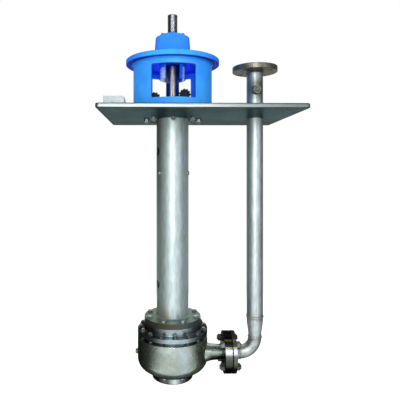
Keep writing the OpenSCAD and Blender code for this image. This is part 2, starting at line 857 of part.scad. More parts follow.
module lubricator_bodies() {
    color("black") for (l = lubes) lube_axis(l) translate([0, 0, lube_cap_len]) {
        cylinder(d = lube_body_d, h = lube_body_len);
        cylinder(d = lube_pipe_d + 2, h = lube_body_len + lube_neck_len);
    }
}

module lubricator_fittings() {
    color("goldenrod") for (l = lubes) {
        y = l[1] + lube_outlet;
        translate([l[0], y, l[2]]) cube(lube_block, center = true);
        translate([l[0], y, 0]) {
            post(lube_pipe_d / 2, column_top_z - lube_seat_depth, l[2]);
            translate([0, 0, column_top_z]) hexagon(lube_pipe_d + 5, 9);
        }
    }
}

// A tube hangs from its passage in the column's top flange to its guide bearing.
tube_ends = [spider_z + spider_h / 2, bracket_top_z];

module grease_tubes() {
    color("orange") for (i = [0, 1]) rotate([0, 0, lube_angle(lubes[i])]) {
        translate([tube_ring_r, 0, 0]) post(tube_d / 2, tube_ends[i], passage_z + tube_d / 2);
        translate([tube_ring_r, 0, passage_z]) rotate([0, 90, 0])
            cylinder(d = tube_d - 1, h = column_bore / 2 - tube_ring_r - roll_gap / 2);
    }
}

// Column

module weld_ring(radius, z, up) {
    rotate_extrude() polygon([[radius - 0.5, z], [radius + weld_leg, z],
        [radius + weld_leg * 0.45, z + up * weld_leg * 0.45],
        [radius, z + up * weld_leg], [radius - 0.5, z + up * weld_leg]]);
}

module vent_cut(z) {
    rotate([0, 0, front - vent_angle]) translate([0, 0, z]) rotate([0, 90, 0])
        cylinder(d = vent_d, h = column_d);
}

module column_pipe() {
    pipe_r = column_d / 2;
    color("silver") difference() {
        union() {
            post(pipe_r, column_z, column_top_z);
            post(top_flange_d / 2, plate_t, column_top_z);
            post(foot_flange_d / 2, column_z, foot_flange_z);
            weld_ring(pipe_r, foot_flange_z, 1);
        }
        post(column_bore / 2, column_z - 1, column_top_z + 1);
        ring_of(8, top_pcd / 2, front)
            post(column_bolt_d / 2 + hole_gap, plate_t - 1, column_top_z + 1);
        ring_of(8, foot_bolt_pcd / 2, half_foot_turn)
            post(column_bolt_d / 2 + hole_gap, column_z - 1, foot_flange_z + 1);
        vent_cut(coupling_z);
        vent_cut(column_z + vent_height);
        for (l = lubes) rotate([0, 0, lube_angle(l)]) {
            translate([lube_radius(l), 0, 0])
                post(lube_pipe_d / 2 + fit_gap, column_top_z - lube_seat_depth, column_top_z + 1);
            translate([0, 0, passage_z]) rotate([0, 90, 0])
                cylinder(d = passage_d, h = lube_radius(l));
        }
        ring_of(3, column_bore / 2 - 5, spider_turn) translate([0, 0, spider_z])
            rotate([0, 90, 0]) cylinder(r = spider_screw_d / 2 + hole_gap / 2, h = column_d);
    }
}

module column_bolts() {
    grip = plate_t + top_flange_t;
    color("gainsboro") ring_of(8, top_pcd / 2, front)
        translate([0, 0, column_top_z]) hex_bolt(column_bolt_d, grip + 0.85 * column_bolt_d + 4);
}

module column_nuts() {
    color("gainsboro") ring_of(8, top_pcd / 2, front) rotate([180, 0, 0]) hex_nut(column_bolt_d);
}

// Guide bearings

// The three radial screws of the spider, the first one right of the front
spider_turn = front + 64;
spider_screw_d = 8;
spider_screw_len = 13;

module bearing_spider() {
    ring_r = column_bore / 2 - fit_gap;
    arm_len = ring_r - spider_wall / 2;
    color("slategray") translate([0, 0, spider_z - spider_h / 2]) difference() {
        linear_extrude(height = spider_h) difference() {
            union() {
                difference() {
                    circle(r = ring_r);
                    circle(r = ring_r - spider_wall);
                }
                circle(r = spider_bush_d / 2 + spider_hub_wall);
                ring_of(3, 0, spider_turn) translate([0, -spider_arm_w / 2])
                    square([arm_len, spider_arm_w]);
            }
            circle(r = spider_bush_d / 2 + fit_gap);
            rotate(lube_angle(lubes[1])) translate([tube_ring_r, 0])
                circle(r = tube_d / 2 + fit_gap);
        }
        translate([0, 0, spider_h / 2]) ring_of(3, ring_r - spider_wall, spider_turn)
            rotate([0, 90, 0]) cylinder(r = spider_screw_d / 2 + screw_thread_gap, h = column_d);
    }
}

module spider_screws() {
    color("gainsboro") ring_of(3, column_d / 2 + 0.6, spider_turn)
        translate([0, 0, spider_z]) rotate([0, 90, 0]) hex_bolt(spider_screw_d, spider_screw_len);
}

module spider_bush() {
    color("black") translate([0, 0, spider_z])
        tube(spider_bush_d / 2, spider_sleeve_r + run_gap, -spider_h / 2, spider_h / 2);
}

module spider_sleeve() {
    color("lightgray") translate([0, 0, spider_z])
        tube(spider_sleeve_r, shaft_r + fit_gap, -spider_sleeve_h / 2, spider_sleeve_h / 2);
}

module bearing_bracket() {
    bush_r = guide_bush_d / 2 + fit_gap;
    land_r = column_bore / 2 - 1.5;
    hub_outer = bush_r + 7;
    bush_low = bracket_top_z - guide_bush_len;
    color("slategray") difference() {
        rotate_extrude() polygon([
            [hub_r + 2, bracket_z], [foot_flange_d / 2, bracket_z],
            [foot_flange_d / 2, column_z], [land_r, column_z], [land_r, column_z + 8],
            [hub_outer, column_z + 14], [hub_outer, bracket_top_z - 16],
            [land_r, bracket_top_z - 10], [land_r, bracket_top_z], [bush_r, bracket_top_z],
            [bush_r, bush_low], [hub_r + 2, bush_low]]);
        ring_of(8, foot_bolt_pcd / 2, half_foot_turn)
            post(column_bolt_d / 2 + hole_gap, bracket_z - 1, column_z + 1);
    }
}

module bracket_bolts() {
    color("gainsboro") ring_of(8, foot_bolt_pcd / 2, half_foot_turn)
        translate([0, 0, foot_flange_z])
            hex_bolt(column_bolt_d, foot_flange_t + bracket_t + hub_t - 3);
}

module guide_bush() {
    color("black")
        tube(guide_bush_d / 2, hub_r + run_gap, bracket_top_z - guide_bush_len, bracket_top_z);
}

// Casing cover

module casing_cover() {
    spigot_r = spigot_d / 2 - fit_gap;
    lower_r = impeller_d / 2 + 2;
    bush_r = throttle_r + fit_gap;
    color("darkseagreen") difference() {
        rotate_extrude() polygon([
            [hub_r + 4, bracket_z], [foot_flange_d / 2, bracket_z],
            [foot_flange_d / 2, hub_z + 3], [foot_flange_d / 2 + 3, hub_z],
            [casing_d / 2, hub_z], [casing_d / 2, cover_flange_z],
            [spigot_r, cover_flange_z], [spigot_r, groove_z + groove_h],
            [spigot_r - groove_depth, groove_z + groove_h], [spigot_r - groove_depth, groove_z],
            [spigot_r, groove_z], [spigot_r, casing_top_z - spigot_len],
            [lower_r, casing_top_z - spigot_len - 4], [lower_r, back_shroud_z + shroud_gap],
            [bush_r, back_shroud_z + shroud_gap], [bush_r, throttle_top_z], [hub_r + 4, throttle_top_z]]);
        ring_of(8, foot_bolt_pcd / 2, half_foot_turn)
            post(column_bolt_d / 2 + screw_thread_gap, hub_z, bracket_z + 1);
        ring_of(studs, stud_pcd / 2, front + stud_turn)
            post(stud_d / 2 + hole_gap, cover_flange_z - 1, hub_z + 1);
    }
}

throttle_r = hub_r + 8;
throttle_top_z = cover_flange_z - 2;
groove_z = casing_top_z - 8;
groove_h = 4;
groove_depth = 3;

module throttle_bush() {
    color("black") tube(throttle_r, hub_r + run_gap, back_shroud_z + shroud_gap, throttle_top_z);
}

module casing_seal_ring() {
    color("black") translate([0, 0, groove_z + groove_h / 2]) rotate_extrude()
        translate([spigot_d / 2 - groove_depth / 2 - fit_gap / 2, 0])
            circle(d = groove_depth - fit_gap, $fn = 24);
}

module cover_studs() {
    color("whitesmoke") ring_of(studs, stud_pcd / 2, front + stud_turn)
        post(stud_d / 2, casing_top_z - stud_depth + 1, hub_z + 0.85 * stud_d + 4);
}

module cover_nuts() {
    color("gainsboro") ring_of(studs, stud_pcd / 2, front + stud_turn)
        translate([0, 0, hub_z]) rotate([0, 0, 30]) hex_nut(stud_d);
}

// Casing

stud_depth = 22;
plug_z = casing_top_z - plug_drop;
plug_len = 8;

// Half section of a bowl with a rounded shoulder
module bowl_section(radius, shoulder_r, low, high) {
    translate([0, low + shoulder_r]) square([radius, high - low - shoulder_r]);
    translate([0, low]) square([radius - shoulder_r, high - low]);
    translate([radius - shoulder_r, low + shoulder_r]) intersection() {
        circle(r = shoulder_r);
        translate([0, -shoulder_r]) square([shoulder_r, shoulder_r]);
    }
}

module casing_section() {
    inner_low = casing_z + casing_wall;
    difference() {
        bowl_section(casing_d / 2, bowl_r, casing_z, casing_top_z);
        bowl_section(casing_d / 2 - casing_wall, bowl_r - casing_wall, inner_low,
            casing_top_z - casing_land);
        translate([0, casing_top_z - casing_land - 1]) square([spigot_d / 2, casing_land + 2]);
        translate([0, casing_z - 1]) square([suction_spigot_r + fit_gap, casing_wall + 2]);
    }
}

module nozzle_axis() {
    translate([0, -riser_y, nozzle_z]) rotate([0, 90, 0]) children();
}

module outlet_holes(low, high) {
    ring_of(4, outlet_pcd / 2, 45) post(flange_hole_d / 2, low, high);
}

module volute_casing() {
    color("darkseagreen") difference() {
        union() {
            difference() {
                rotate_extrude() casing_section();
                nozzle_axis() post(elbow_bore / 2, 0, casing_d);
            }
            difference() {
                nozzle_axis() {
                    translate([0, 0, casing_d / 2 - 25])
                        cylinder(r1 = nozzle_r + 14, r2 = nozzle_r + 4, h = 35);
                    translate([0, 0, casing_d / 2 + 10])
                        cylinder(r1 = nozzle_r + 4, r2 = nozzle_r,
                            h = outlet_flange_x - casing_d / 2 - 10);
                    post(outlet_flange_d / 2, outlet_flange_x, outlet_face_x - raised_h);
                    post(raised_d / 2, outlet_flange_x, outlet_face_x);
                }
                post(casing_d / 2 - casing_wall + 1, casing_z, casing_top_z);
                nozzle_axis() post(elbow_bore / 2, 0, riser_x);
            }
        }
        nozzle_axis() outlet_holes(outlet_flange_x - 1, outlet_face_x + 1);
        ring_of(studs, stud_pcd / 2, front + stud_turn)
            post(stud_d / 2 + screw_thread_gap, casing_top_z - stud_depth, casing_top_z + 1);
        ring_of(8, suction_screw_pcd / 2, suction_turn)
            post(suction_screw_d / 2 + screw_thread_gap, casing_z - 1, casing_z + casing_wall - 1);
        translate([0, 0, plug_z]) rotate([0, -90, 0])
            cylinder(d = plug_d * 0.6 + 2 * screw_thread_gap, h = casing_d);
    }
}

module casing_plug() {
    color("dimgray") translate([-casing_d / 2 - 0.3, 0, plug_z]) rotate([0, -90, 0]) {
        cylinder(d = plug_d, h = 2);
        hexagon(plug_d * 0.82, plug_len);
        translate([0, 0, -casing_wall]) cylinder(d = plug_d * 0.6, h = casing_wall + 1);
    }
}

// Suction cover

suction_spigot_r = suction_pcd / 2 + 14;
suction_spigot_h = casing_wall;
suction_turn = front + 22.5;
wear_ring_r = neck_ring_d / 2 + 6;
wear_top_z = front_shroud_z - shroud_gap;
wear_low_z = neck_ring_z;

module suction_cover() {
    bore_r = suction_bore / 2;
    color("darkseagreen") difference() {
        rotate_extrude() polygon([
            [bore_r, suction_z], [suction_d / 2 - 2, suction_z], [suction_d / 2, suction_z + 2],
            [suction_d / 2, suction_top_z], [suction_d / 2 - 5, suction_top_z],
            [suction_d / 2 - 5, suction_plate_z], [suction_cover_d / 2, suction_plate_z],
            [suction_cover_d / 2, casing_z], [suction_spigot_r, casing_z],
            [suction_spigot_r, casing_z + suction_spigot_h],
            [wear_ring_r + 9, casing_z + suction_spigot_h], [wear_ring_r + 7, wear_top_z],
            [wear_ring_r + fit_gap, wear_top_z], [wear_ring_r + fit_gap, wear_low_z - 1],
            [bore_r, wear_low_z - 1]]);
        ring_of(8, suction_screw_pcd / 2, suction_turn)
            post(suction_screw_d / 2 + hole_gap / 2, suction_plate_z - 1, casing_z + 1);
        ring_of(4, suction_pcd / 2, 45)
            post(suction_hole_d / 2, suction_z - 1, suction_z + suction_t - 2);
    }
}

module suction_screws() {
    color("gainsboro") ring_of(8, suction_screw_pcd / 2, suction_turn)
        translate([0, 0, suction_plate_z]) rotate([180, 0, 0])
            hex_bolt(suction_screw_d, suction_plate_t + casing_wall - 2);
}

module wear_ring() {
    color("lightgray")
        tube(wear_ring_r, neck_ring_d / 2 + roll_gap, wear_low_z - 1, wear_top_z);
}

// Discharge line

module discharge_gasket() {
    color("dimgray") nozzle_axis() tube(raised_d / 2, elbow_bore / 2 + 2, outlet_face_x, elbow_face_x);
}

nut_h = 0.85 * outlet_stud_d;
stud_end = 4;

module discharge_studs() {
    color("gainsboro") nozzle_axis() ring_of(4, outlet_pcd / 2, 45)
        post(outlet_stud_d / 2, outlet_flange_x - nut_h - stud_end, elbow_neck_x + nut_h + stud_end);
}

module discharge_nuts() {
    color("dimgray") nozzle_axis() ring_of(4, outlet_pcd / 2, 45) {
        translate([0, 0, elbow_neck_x]) hex_nut(outlet_stud_d);
        translate([0, 0, outlet_flange_x]) rotate([180, 0, 0]) hex_nut(outlet_stud_d);
    }
}

// Half-round weld bead round a pipe, whose low edge is at z
module bead(radius, z) {
    rotate_extrude() translate([radius - 0.2, z + weld_leg / 3]) intersection() {
        circle(r = weld_leg / 3, $fn = 24);
        translate([0, -weld_leg]) square(2 * weld_leg);
    }
}

module elbow_bend(radius) {
    translate([elbow_x, -riser_y, elbow_top_z]) rotate([90, 0, 0]) rotate([0, 0, -90])
        rotate_extrude(angle = 90) translate([elbow_r, 0]) circle(r = radius);
}

module discharge_elbow() {
    color("silver") difference() {
        union() {
            nozzle_axis() {
                post(raised_d / 2, elbow_face_x, elbow_neck_x);
                post(outlet_flange_d / 2, elbow_face_x + raised_h, elbow_neck_x);
                translate([0, 0, elbow_neck_x])
                    cylinder(r1 = elbow_d / 2 + 8, r2 = elbow_d / 2, h = elbow_x - elbow_neck_x);
                bead(elbow_d / 2, elbow_x - weld_leg / 3);
            }
            elbow_bend(elbow_d / 2);
            translate([riser_x, -riser_y, 0]) bead(elbow_d / 2, elbow_top_z - weld_leg * 2 / 3);
        }
        nozzle_axis() post(elbow_bore / 2, elbow_face_x - 1, elbow_x);
        elbow_bend(elbow_bore / 2);
        nozzle_axis() outlet_holes(elbow_face_x - 1, elbow_neck_x + 1);
    }
}

module pipe_reducer() {
    color("silver") translate([riser_x, -riser_y, 0]) rotate_extrude() polygon([
        [elbow_bore / 2, elbow_top_z], [elbow_d / 2, elbow_top_z],
        [elbow_d / 2, elbow_top_z + reducer_len * 0.2],
        [riser_d / 2, reducer_top_z - reducer_len * 0.25], [riser_d / 2, reducer_top_z],
        [riser_bore / 2, reducer_top_z], [riser_bore / 2, reducer_top_z - reducer_len * 0.25],
        [elbow_bore / 2, elbow_top_z + reducer_len * 0.2]]);
}

module riser_pipe() {
    color("silver") translate([riser_x, -riser_y, 0]) difference() {
        union() {
            post(riser_d / 2, reducer_top_z, riser_top - 3);
            socket_axis() post(socket_d / 2, riser_d / 2 - 8, riser_d / 2 + socket_len);
            socket_axis() translate([0, 0, riser_d / 2 - 3])
                cylinder(r1 = socket_d / 2 + weld_leg, r2 = socket_d / 2, h = weld_leg + 2);
        }
        post(riser_bore / 2, reducer_top_z - 1, riser_top);
        socket_axis() post(plug_thread_r + screw_thread_gap, 0, riser_d / 2 + socket_len + 1);
    }
}

// Threaded socket for a gauge, welded to the riser's front
plug_thread_r = socket_d * 0.32;

module socket_axis() {
    translate([0, 0, socket_z]) rotate([90, 0, 0]) children();
}

module gauge_plug() {
    face = riser_d / 2 + socket_len;
    color("dimgray") translate([riser_x, -riser_y, 0]) socket_axis() {
        post(plug_thread_r, face - socket_len + 2, face);
        translate([0, 0, face]) cylinder(r = plug_thread_r + 1.5, h = 2);
        translate([0, 0, face + 2]) hexagon(plug_thread_r * 1.5, 5);
    }
}

module riser_flange() {
    low = riser_top - riser_flange_t;
    color("gray") translate([riser_x, -riser_y, 0]) difference() {
        union() {
            rotate_extrude() polygon([[0, low], [riser_flange_d / 2 - 1, low],
                [riser_flange_d / 2, low + 1], [riser_flange_d / 2, riser_top - raised_h - 1],
                [riser_flange_d / 2 - 1, riser_top - raised_h], [0, riser_top - raised_h]]);
            post(raised_d / 2 + 6, low, riser_top);
            rotate([180, 0, 0]) translate([0, 0, -low]) weld_cone();
        }
        post(riser_bore / 2, low - weld_leg - 2, riser_top + 1);
        post(riser_d / 2 + fit_gap, low - weld_leg - 2, riser_top - 3);
        ring_of(4, riser_pcd / 2, 45) post(flange_hole_d / 2, low - 1, riser_top + 1);
    }
}

// Fillet weld under the riser's flange
module weld_cone() {
    cylinder(r1 = riser_d / 2 + weld_leg, r2 = riser_d / 2 + 0.5, h = weld_leg);
}

// Radius of the riser's hole in the sole plate
grommet_r = riser_d / 2 + 3.5;
grommet_lip = 2;

module riser_grommet() {
    color("black") translate([riser_x, -riser_y, 0]) rotate_extrude() polygon([
        [riser_d / 2 + fit_gap, 0], [grommet_r - fit_gap, 0],
        [grommet_r - fit_gap, plate_t], [grommet_r + 3, plate_t],
        [grommet_r + 3, plate_t + grommet_lip], [riser_d / 2 + fit_gap, plate_t + grommet_lip]]);
}

// Rotor

module drive_shaft() {
    seat_r = upper_bore / 2;
    lower_seat_r = lower_bore / 2;
    color("dimgray") difference() {
        rotate_extrude() polygon([
            [0, coupling_z + 1], [shaft_r, coupling_z + 1], [shaft_r, lower_ring_z],
            [lower_seat_r, lower_ring_z], [lower_seat_r, upper_rings_z],
            [seat_r, upper_rings_z], [seat_r, locknut_top_z], [seal_seat_r, locknut_top_z],
            [seal_seat_r, shoulder_z], [drive_r, shoulder_z],
            [drive_r, shaft_top_z - 2], [drive_r - 2, shaft_top_z], [0, shaft_top_z]]);
        key_space();
        post(5, shaft_top_z - 18, shaft_top_z + 1);
    }
}

// Outline of a key with round ends, standing on y = 0
module key_outline(width, length) {
    translate([-width / 2, width / 2]) square([width, length - width]);
    for (y = [width / 2, length - width / 2]) translate([0, y]) circle(d = width);
}

// Keyway in the drive end, on the side of the riser
module key_space() {
    rotate([0, 0, -90]) translate([0, drive_r - key_depth, key_z]) rotate([-90, 0, 0])
        translate([0, -key_len, 0])
            linear_extrude(height = key_depth + 1) key_outline(key_w, key_len);
}

module shaft_locknut() {
    color("gray") difference() {
        post(locknut_d / 2, upper_rings_top_z, locknut_top_z);
        post(upper_bore / 2 + fit_gap, upper_rings_top_z - 1, locknut_top_z + 1);
        ring_of(4, locknut_d / 2) translate([-3, -3.5, upper_rings_top_z - 1])
            cube([6, 7, locknut_t + 2]);
    }
}

coupling_slot = 2.5;
coupling_screw_x = shaft_r + 7.5;
coupling_screw_z = coupling_len * 0.3;
coupling_head_y = 13;

module coupling_screw_places() {
    for (x = [-1, 1], z = [-1, 1])
        translate([x * coupling_screw_x, 0, coupling_z + z * coupling_screw_z])
            rotate([90, 0, 0]) children();
}

module shaft_coupling() {
    color("slategray") difference() {
        post(coupling_d / 2, coupling_z - coupling_len / 2, coupling_z + coupling_len / 2);
        post(shaft_r + fit_gap / 2, coupling_z - coupling_len, coupling_z + coupling_len);
        translate([-coupling_d, -coupling_slot / 2, coupling_z - coupling_len])
            cube([2 * coupling_d, coupling_slot, 2 * coupling_len]);
        coupling_screw_places() {
            post(coupling_screw_d / 2 + hole_gap / 2, -coupling_d, coupling_d);
            post(coupling_screw_d * 0.75 + 0.5, coupling_head_y, coupling_d);
        }
    }
}

module coupling_screws() {
    color("dimgray") coupling_screw_places() translate([0, 0, coupling_head_y])
        socket_screw(coupling_screw_d, 2 * coupling_head_y + 4);
}

module line_shaft() {
    seat_r = sleeve_seat_d / 2;
    thread_r = impeller_bore / 2 - 3;
    color("dimgray") rotate_extrude() polygon([
        [0, shaft_low_z], [thread_r - 1, shaft_low_z], [thread_r, shaft_low_z + 1],
        [thread_r, impeller_hub_z], [impeller_bore / 2, impeller_hub_z],
        [impeller_bore / 2, sleeve_low_z], [seat_r, sleeve_low_z], [seat_r, sleeve_top_z],
        [shaft_r, sleeve_top_z], [shaft_r, coupling_z - 1], [0, coupling_z - 1]]);
}

module guide_sleeve() {
    color("lightgray") tube(hub_r, sleeve_seat_d / 2 + fit_gap / 2, sleeve_low_z, sleeve_top_z);
}

// One vane between two arcs, swept back from the eye to the rim
module vane_outline() {
    rim_r = impeller_d / 2;
    arc_r = rim_r * 0.62;
    intersection() {
        difference() {
            circle(r = rim_r);
            circle(r = eye_d / 2 + 2);
        }
        translate([rim_r * 0.46, rim_r * 0.22]) difference() {
            circle(r = arc_r);
            circle(r = arc_r - vane_t);
        }
        translate([0, -rim_r]) square([2 * rim_r, rim_r + rim_r * 0.1]);
    }
}

module impeller() {
    color("slategray") {
        difference() {
            union() {
                post(hub_r, impeller_hub_z, impeller_top_z);
                post(impeller_d / 2, outlet_top_z, back_shroud_z);
                ring_of(vanes, 0) translate([0, 0, outlet_low_z])
                    linear_extrude(height = outlet_w) vane_outline();
                tube(impeller_d / 2, eye_d / 2, front_shroud_z, outlet_low_z);
                tube(neck_ring_d / 2, eye_d / 2, neck_ring_z, outlet_low_z);
            }
            post(impeller_bore / 2 + fit_gap / 2, shaft_low_z, impeller_top_z + 1);
        }
    }
}

module impeller_nut() {
    thread_r = impeller_bore / 2 - 3;
    color("gray") difference() {
        union() {
            post(hub_r - 4, impeller_hub_z - 5, impeller_hub_z);
            translate([0, 0, impeller_hub_z]) rotate([180, 0, 0]) hexagon(impeller_nut_w, impeller_nut_h);
        }
        post(thread_r + fit_gap, shaft_low_z - 1, impeller_hub_z + 1);
    }
}

sole_plate();
instrument_cover();
instrument_screws();
lantern();
lantern_screws();
bearing_housing();
housing_screws();
upper_bearing_cover();
upper_cover_screws();
upper_seal();
lower_bearing_cover();
lower_cover_screws();
lower_seal();
upper_outer_rings();
lower_outer_ring();
lubricator_caps();
lubricator_bodies();
lubricator_fittings();
grease_tubes();
column_pipe();
column_bolts();
column_nuts();
bearing_spider();
spider_screws();
spider_bush();
bearing_bracket();
bracket_bolts();
guide_bush();
casing_cover();
throttle_bush();
casing_seal_ring();
cover_studs();
cover_nuts();
volute_casing();
casing_plug();
suction_cover();
suction_screws();
wear_ring();
discharge_gasket();
discharge_studs();
discharge_nuts();
discharge_elbow();
pipe_reducer();
riser_pipe();
riser_flange();
riser_grommet();
gauge_plug();
drive_shaft();
shaft_locknut();
upper_inner_rings();
lower_inner_ring();
shaft_coupling();
coupling_screws();
line_shaft();
spider_sleeve();
guide_sleeve();
impeller();
impeller_nut();
upper_ball_sets();
lower_ball_set();
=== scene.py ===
"""Vertical line-shaft pump: procedural materials, weld beads, studio light and the photograph's camera."""

import math

import bmesh
import bpy
from mathutils import Matrix, Vector


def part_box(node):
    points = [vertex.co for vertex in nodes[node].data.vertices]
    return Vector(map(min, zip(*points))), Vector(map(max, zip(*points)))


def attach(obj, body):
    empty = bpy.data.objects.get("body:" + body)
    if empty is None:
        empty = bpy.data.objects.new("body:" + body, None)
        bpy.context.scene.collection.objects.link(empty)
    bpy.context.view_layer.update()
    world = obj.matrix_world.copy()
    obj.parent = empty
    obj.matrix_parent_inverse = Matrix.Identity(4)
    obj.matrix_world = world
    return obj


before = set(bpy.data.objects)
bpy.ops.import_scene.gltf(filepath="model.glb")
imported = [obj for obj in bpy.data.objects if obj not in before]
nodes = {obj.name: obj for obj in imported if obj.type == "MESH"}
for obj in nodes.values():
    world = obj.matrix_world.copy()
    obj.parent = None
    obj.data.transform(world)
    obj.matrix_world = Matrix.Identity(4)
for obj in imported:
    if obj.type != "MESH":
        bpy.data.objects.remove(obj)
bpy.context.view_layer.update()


scene = bpy.context.scene
scene.view_settings.view_transform = "Standard"

X = 0
Y = 1
Z = 2

# Places in the row frame, in metres
DISC_UNDERSIDE = 0.200
ABOVE_DISC = DISC_UNDERSIDE + 0.019
LANTERN_INSIDE = 0.1335
OUTLET_Z = -0.868
RISER_X = 0.306
RISER_Y = -0.026
RISER_TINT_Z = 0.031
GAUGE_SOCKET = (0.311, -0.060, 0.110)
ELBOW_TOP = -0.811
ELBOW_NECK = 0.249
REDUCER_TOP = -0.735
FLOOR_Z = -1.32

# Colours of the blue paint, with painted light and shade by place
PAINT_DEEP = (0.040, 0.31, 0.96)
PAINT_LIGHT = (0.060, 0.39, 1.0)
PAINT_SPECK = (0.025, 0.17, 0.70)
PAINT_WORN = (0.16, 0.42, 0.93)
PAINT_GRIME = (0.03, 0.08, 0.22)
# Painted shade: deep blue inside the lantern and under its ceiling, navy at its ends
PAINT_INSIDE_SHADE = (0.018, 0.24, 1.0)
PAINT_CEILING_SHADE = (0.006, 0.05, 1.0)
PAINT_ENDS_SHADE = (0.016, 0.13, 0.80)
# A darker blue on the housing above the disc
PAINT_HOUSING = (0.034, 0.20, 0.90)
# Painted light on the lantern's front
PAINT_FRONT_LIGHT = (0.12, 0.47, 1.0)
# Painted shade under the disc and on the housing's flanks
PAINT_UNDER_SHADE_FRONT = (0.008, 0.105, 0.60)
PAINT_UNDER_SHADE_ENDS = (0.003, 0.026, 0.28)
PAINT_FLANK_SHADE = (0.008, 0.045, 0.42)
# Painted highlight on the bearing cover's skirt
PAINT_HIGHLIGHT = (0.85, 1.0, 1.0)
PAINT_BARE = (0.16, 0.13, 0.075)
PAINT_SHEEN = (0.25, 0.6, 1.0)

# Colours of the plate's cut edge, with painted shade on its left end and lower rim, and of the mill skin
# under it, darkened as painted shade
CUT_LEFT_SHADE = (0.11, 0.085, 0.03)
CUT_RIGHT = (0.13, 0.165, 0.16)
CUT_LOWER_RIM_SHADE = (0.10, 0.08, 0.04)
CUT_UPPER_RIM = (0.10, 0.14, 0.15)
# The mill skin under the plate, darkened as painted shade, darkest towards its rear and rims
SKIN_SHADE_DARK = (0.060, 0.095, 0.095)
SKIN_SHADE_LIGHT = (0.125, 0.172, 0.172)
SKIN_REAR_SHADE = (0.045, 0.055, 0.042)
SKIN_RIM_SHADE = (0.008, 0.008, 0.006)

# Colours of stains, heat and marks on steel, and of painted light and shade on it
WELD_STRAW = (0.32, 0.25, 0.15)
WELD_BLUE = (0.13, 0.16, 0.24)
SCORCHED = (0.085, 0.07, 0.05)
# Painted shade on the riser's sides
RISER_FLANK_SHADE = (0.16, 0.19, 0.19)
GREEN_WASH = (0.38, 0.49, 0.39)
# Dark rim of the column's foot flange, brown to the left and green to the right
FOOT_RIM_LEFT = (0.045, 0.032, 0.012)
FOOT_RIM_RIGHT = (0.060, 0.078, 0.070)
FLANGE_TOP = (0.20, 0.27, 0.21)
BROWN_HAZE = (0.36, 0.31, 0.15)
# Painted shade on the column's left side
COLUMN_FLANK_SHADE = (0.075, 0.095, 0.050)
# Painted light and shade on the outlet's flanges: dark base, highlight, dark band, dark top and bottom,
# yellow glints
OUTLET_BASE_SHADE = (0.070, 0.088, 0.068)
OUTLET_HIGHLIGHT = (0.66, 0.69, 0.77)
OUTLET_SHADE = (0.035, 0.042, 0.075)
OUTLET_EDGE_SHADE = (0.006, 0.006, 0.004)
YELLOW_GLINT = (0.80, 0.66, 0.13)
# Painted shade on the casing's left, right and outlet neck, and a painted highlight at its front
CASING_LEFT_SHADE = (0.050, 0.050, 0.022)
CASING_FRONT_HIGHLIGHT = (0.50, 0.60, 0.67)
CASING_RIGHT_SHADE = (0.25, 0.28, 0.17)
CASING_NECK_SHADE = (0.018, 0.022, 0.03)
# Painted shade on the ends of the casing cover
COVER_ENDS_SHADE = (0.050, 0.058, 0.042)
# Painted shade above the suction flange, and a painted highlight at its front
MOUTH_NECK_SHADE = (0.010, 0.010, 0.018)
MOUTH_HIGHLIGHT = (0.66, 0.74, 0.76)
OILED_SHAFT = (0.34, 0.315, 0.28)
DUST = (0.16, 0.15, 0.14)


# Shader helpers


def new_material(name):
    """A material with one Principled shader, and with it the tree and the shader."""
    material = bpy.data.materials.new(name)
    material.use_nodes = True
    tree = material.node_tree
    tree.nodes.clear()
    out = tree.nodes.new("ShaderNodeOutputMaterial")
    shader = tree.nodes.new("ShaderNodeBsdfPrincipled")
    tree.links.new(shader.outputs[0], out.inputs[0])
    return material, tree, shader


def feed(tree, value, socket):
    """Link the value to the socket, or set it there when it is a number or a colour."""
    if isinstance(value, (int, float)):
        socket.default_value = value
    elif isinstance(value, tuple):
        socket.default_value = (*value, 1.0)
    else:
        tree.links.new(value, socket)


def coords(tree, scale=(1, 1, 1)):
    """Places in the row frame, in metres, stretched by scale."""
    places = tree.nodes.new("ShaderNodeTexCoord")
    mapping = tree.nodes.new("ShaderNodeMapping")
    mapping.inputs["Scale"].default_value = scale
    tree.links.new(places.outputs["Object"], mapping.inputs["Vector"])
    return mapping.outputs["Vector"]


def noise(tree, vector, scale, detail=4.0, rough=0.55, distortion=0.0):
    """A cloudy pattern round 0.5."""
    node = tree.nodes.new("ShaderNodeTexNoise")
    node.inputs["Scale"].default_value = scale
    node.inputs["Detail"].default_value = detail
    node.inputs["Roughness"].default_value = rough
    node.inputs["Distortion"].default_value = distortion
    tree.links.new(vector, node.inputs["Vector"])
    return node.outputs["Fac"]


def cells(tree, vector, scale):
    """Distance from the nearest cell centre of a random pattern."""
    node = tree.nodes.new("ShaderNodeTexVoronoi")
    node.inputs["Scale"].default_value = scale
    tree.links.new(vector, node.inputs["Vector"])
    return node.outputs["Distance"]


def math_node(tree, kind, *values):
    """One step of arithmetic on sockets or numbers."""
    node = tree.nodes.new("ShaderNodeMath")
    node.operation = kind
    for value, socket in zip(values, node.inputs):
        feed(tree, value, socket)
    return node.outputs[0]


def chain(tree, kind, values):
    """The same step of arithmetic over all values."""
    result, *others = values
    for value in others:
        result = math_node(tree, kind, result, value)
    return result


def product(tree, *values):
    """All values multiplied."""
    return chain(tree, "MULTIPLY", values)


def highest(tree, *values):
    """The highest of the values."""
    return chain(tree, "MAXIMUM", values)


def less(tree, value, other):
    """The value with the other taken off."""
    return math_node(tree, "SUBTRACT", value, other)


def size_of(tree, value):
    """The value without its sign."""
    return math_node(tree, "ABSOLUTE", value)


def length(tree, *parts):
    """The length of the vector with these parts."""
    squares = [product(tree, part, part) for part in parts]
    return math_node(tree, "SQRT", chain(tree, "ADD", squares))


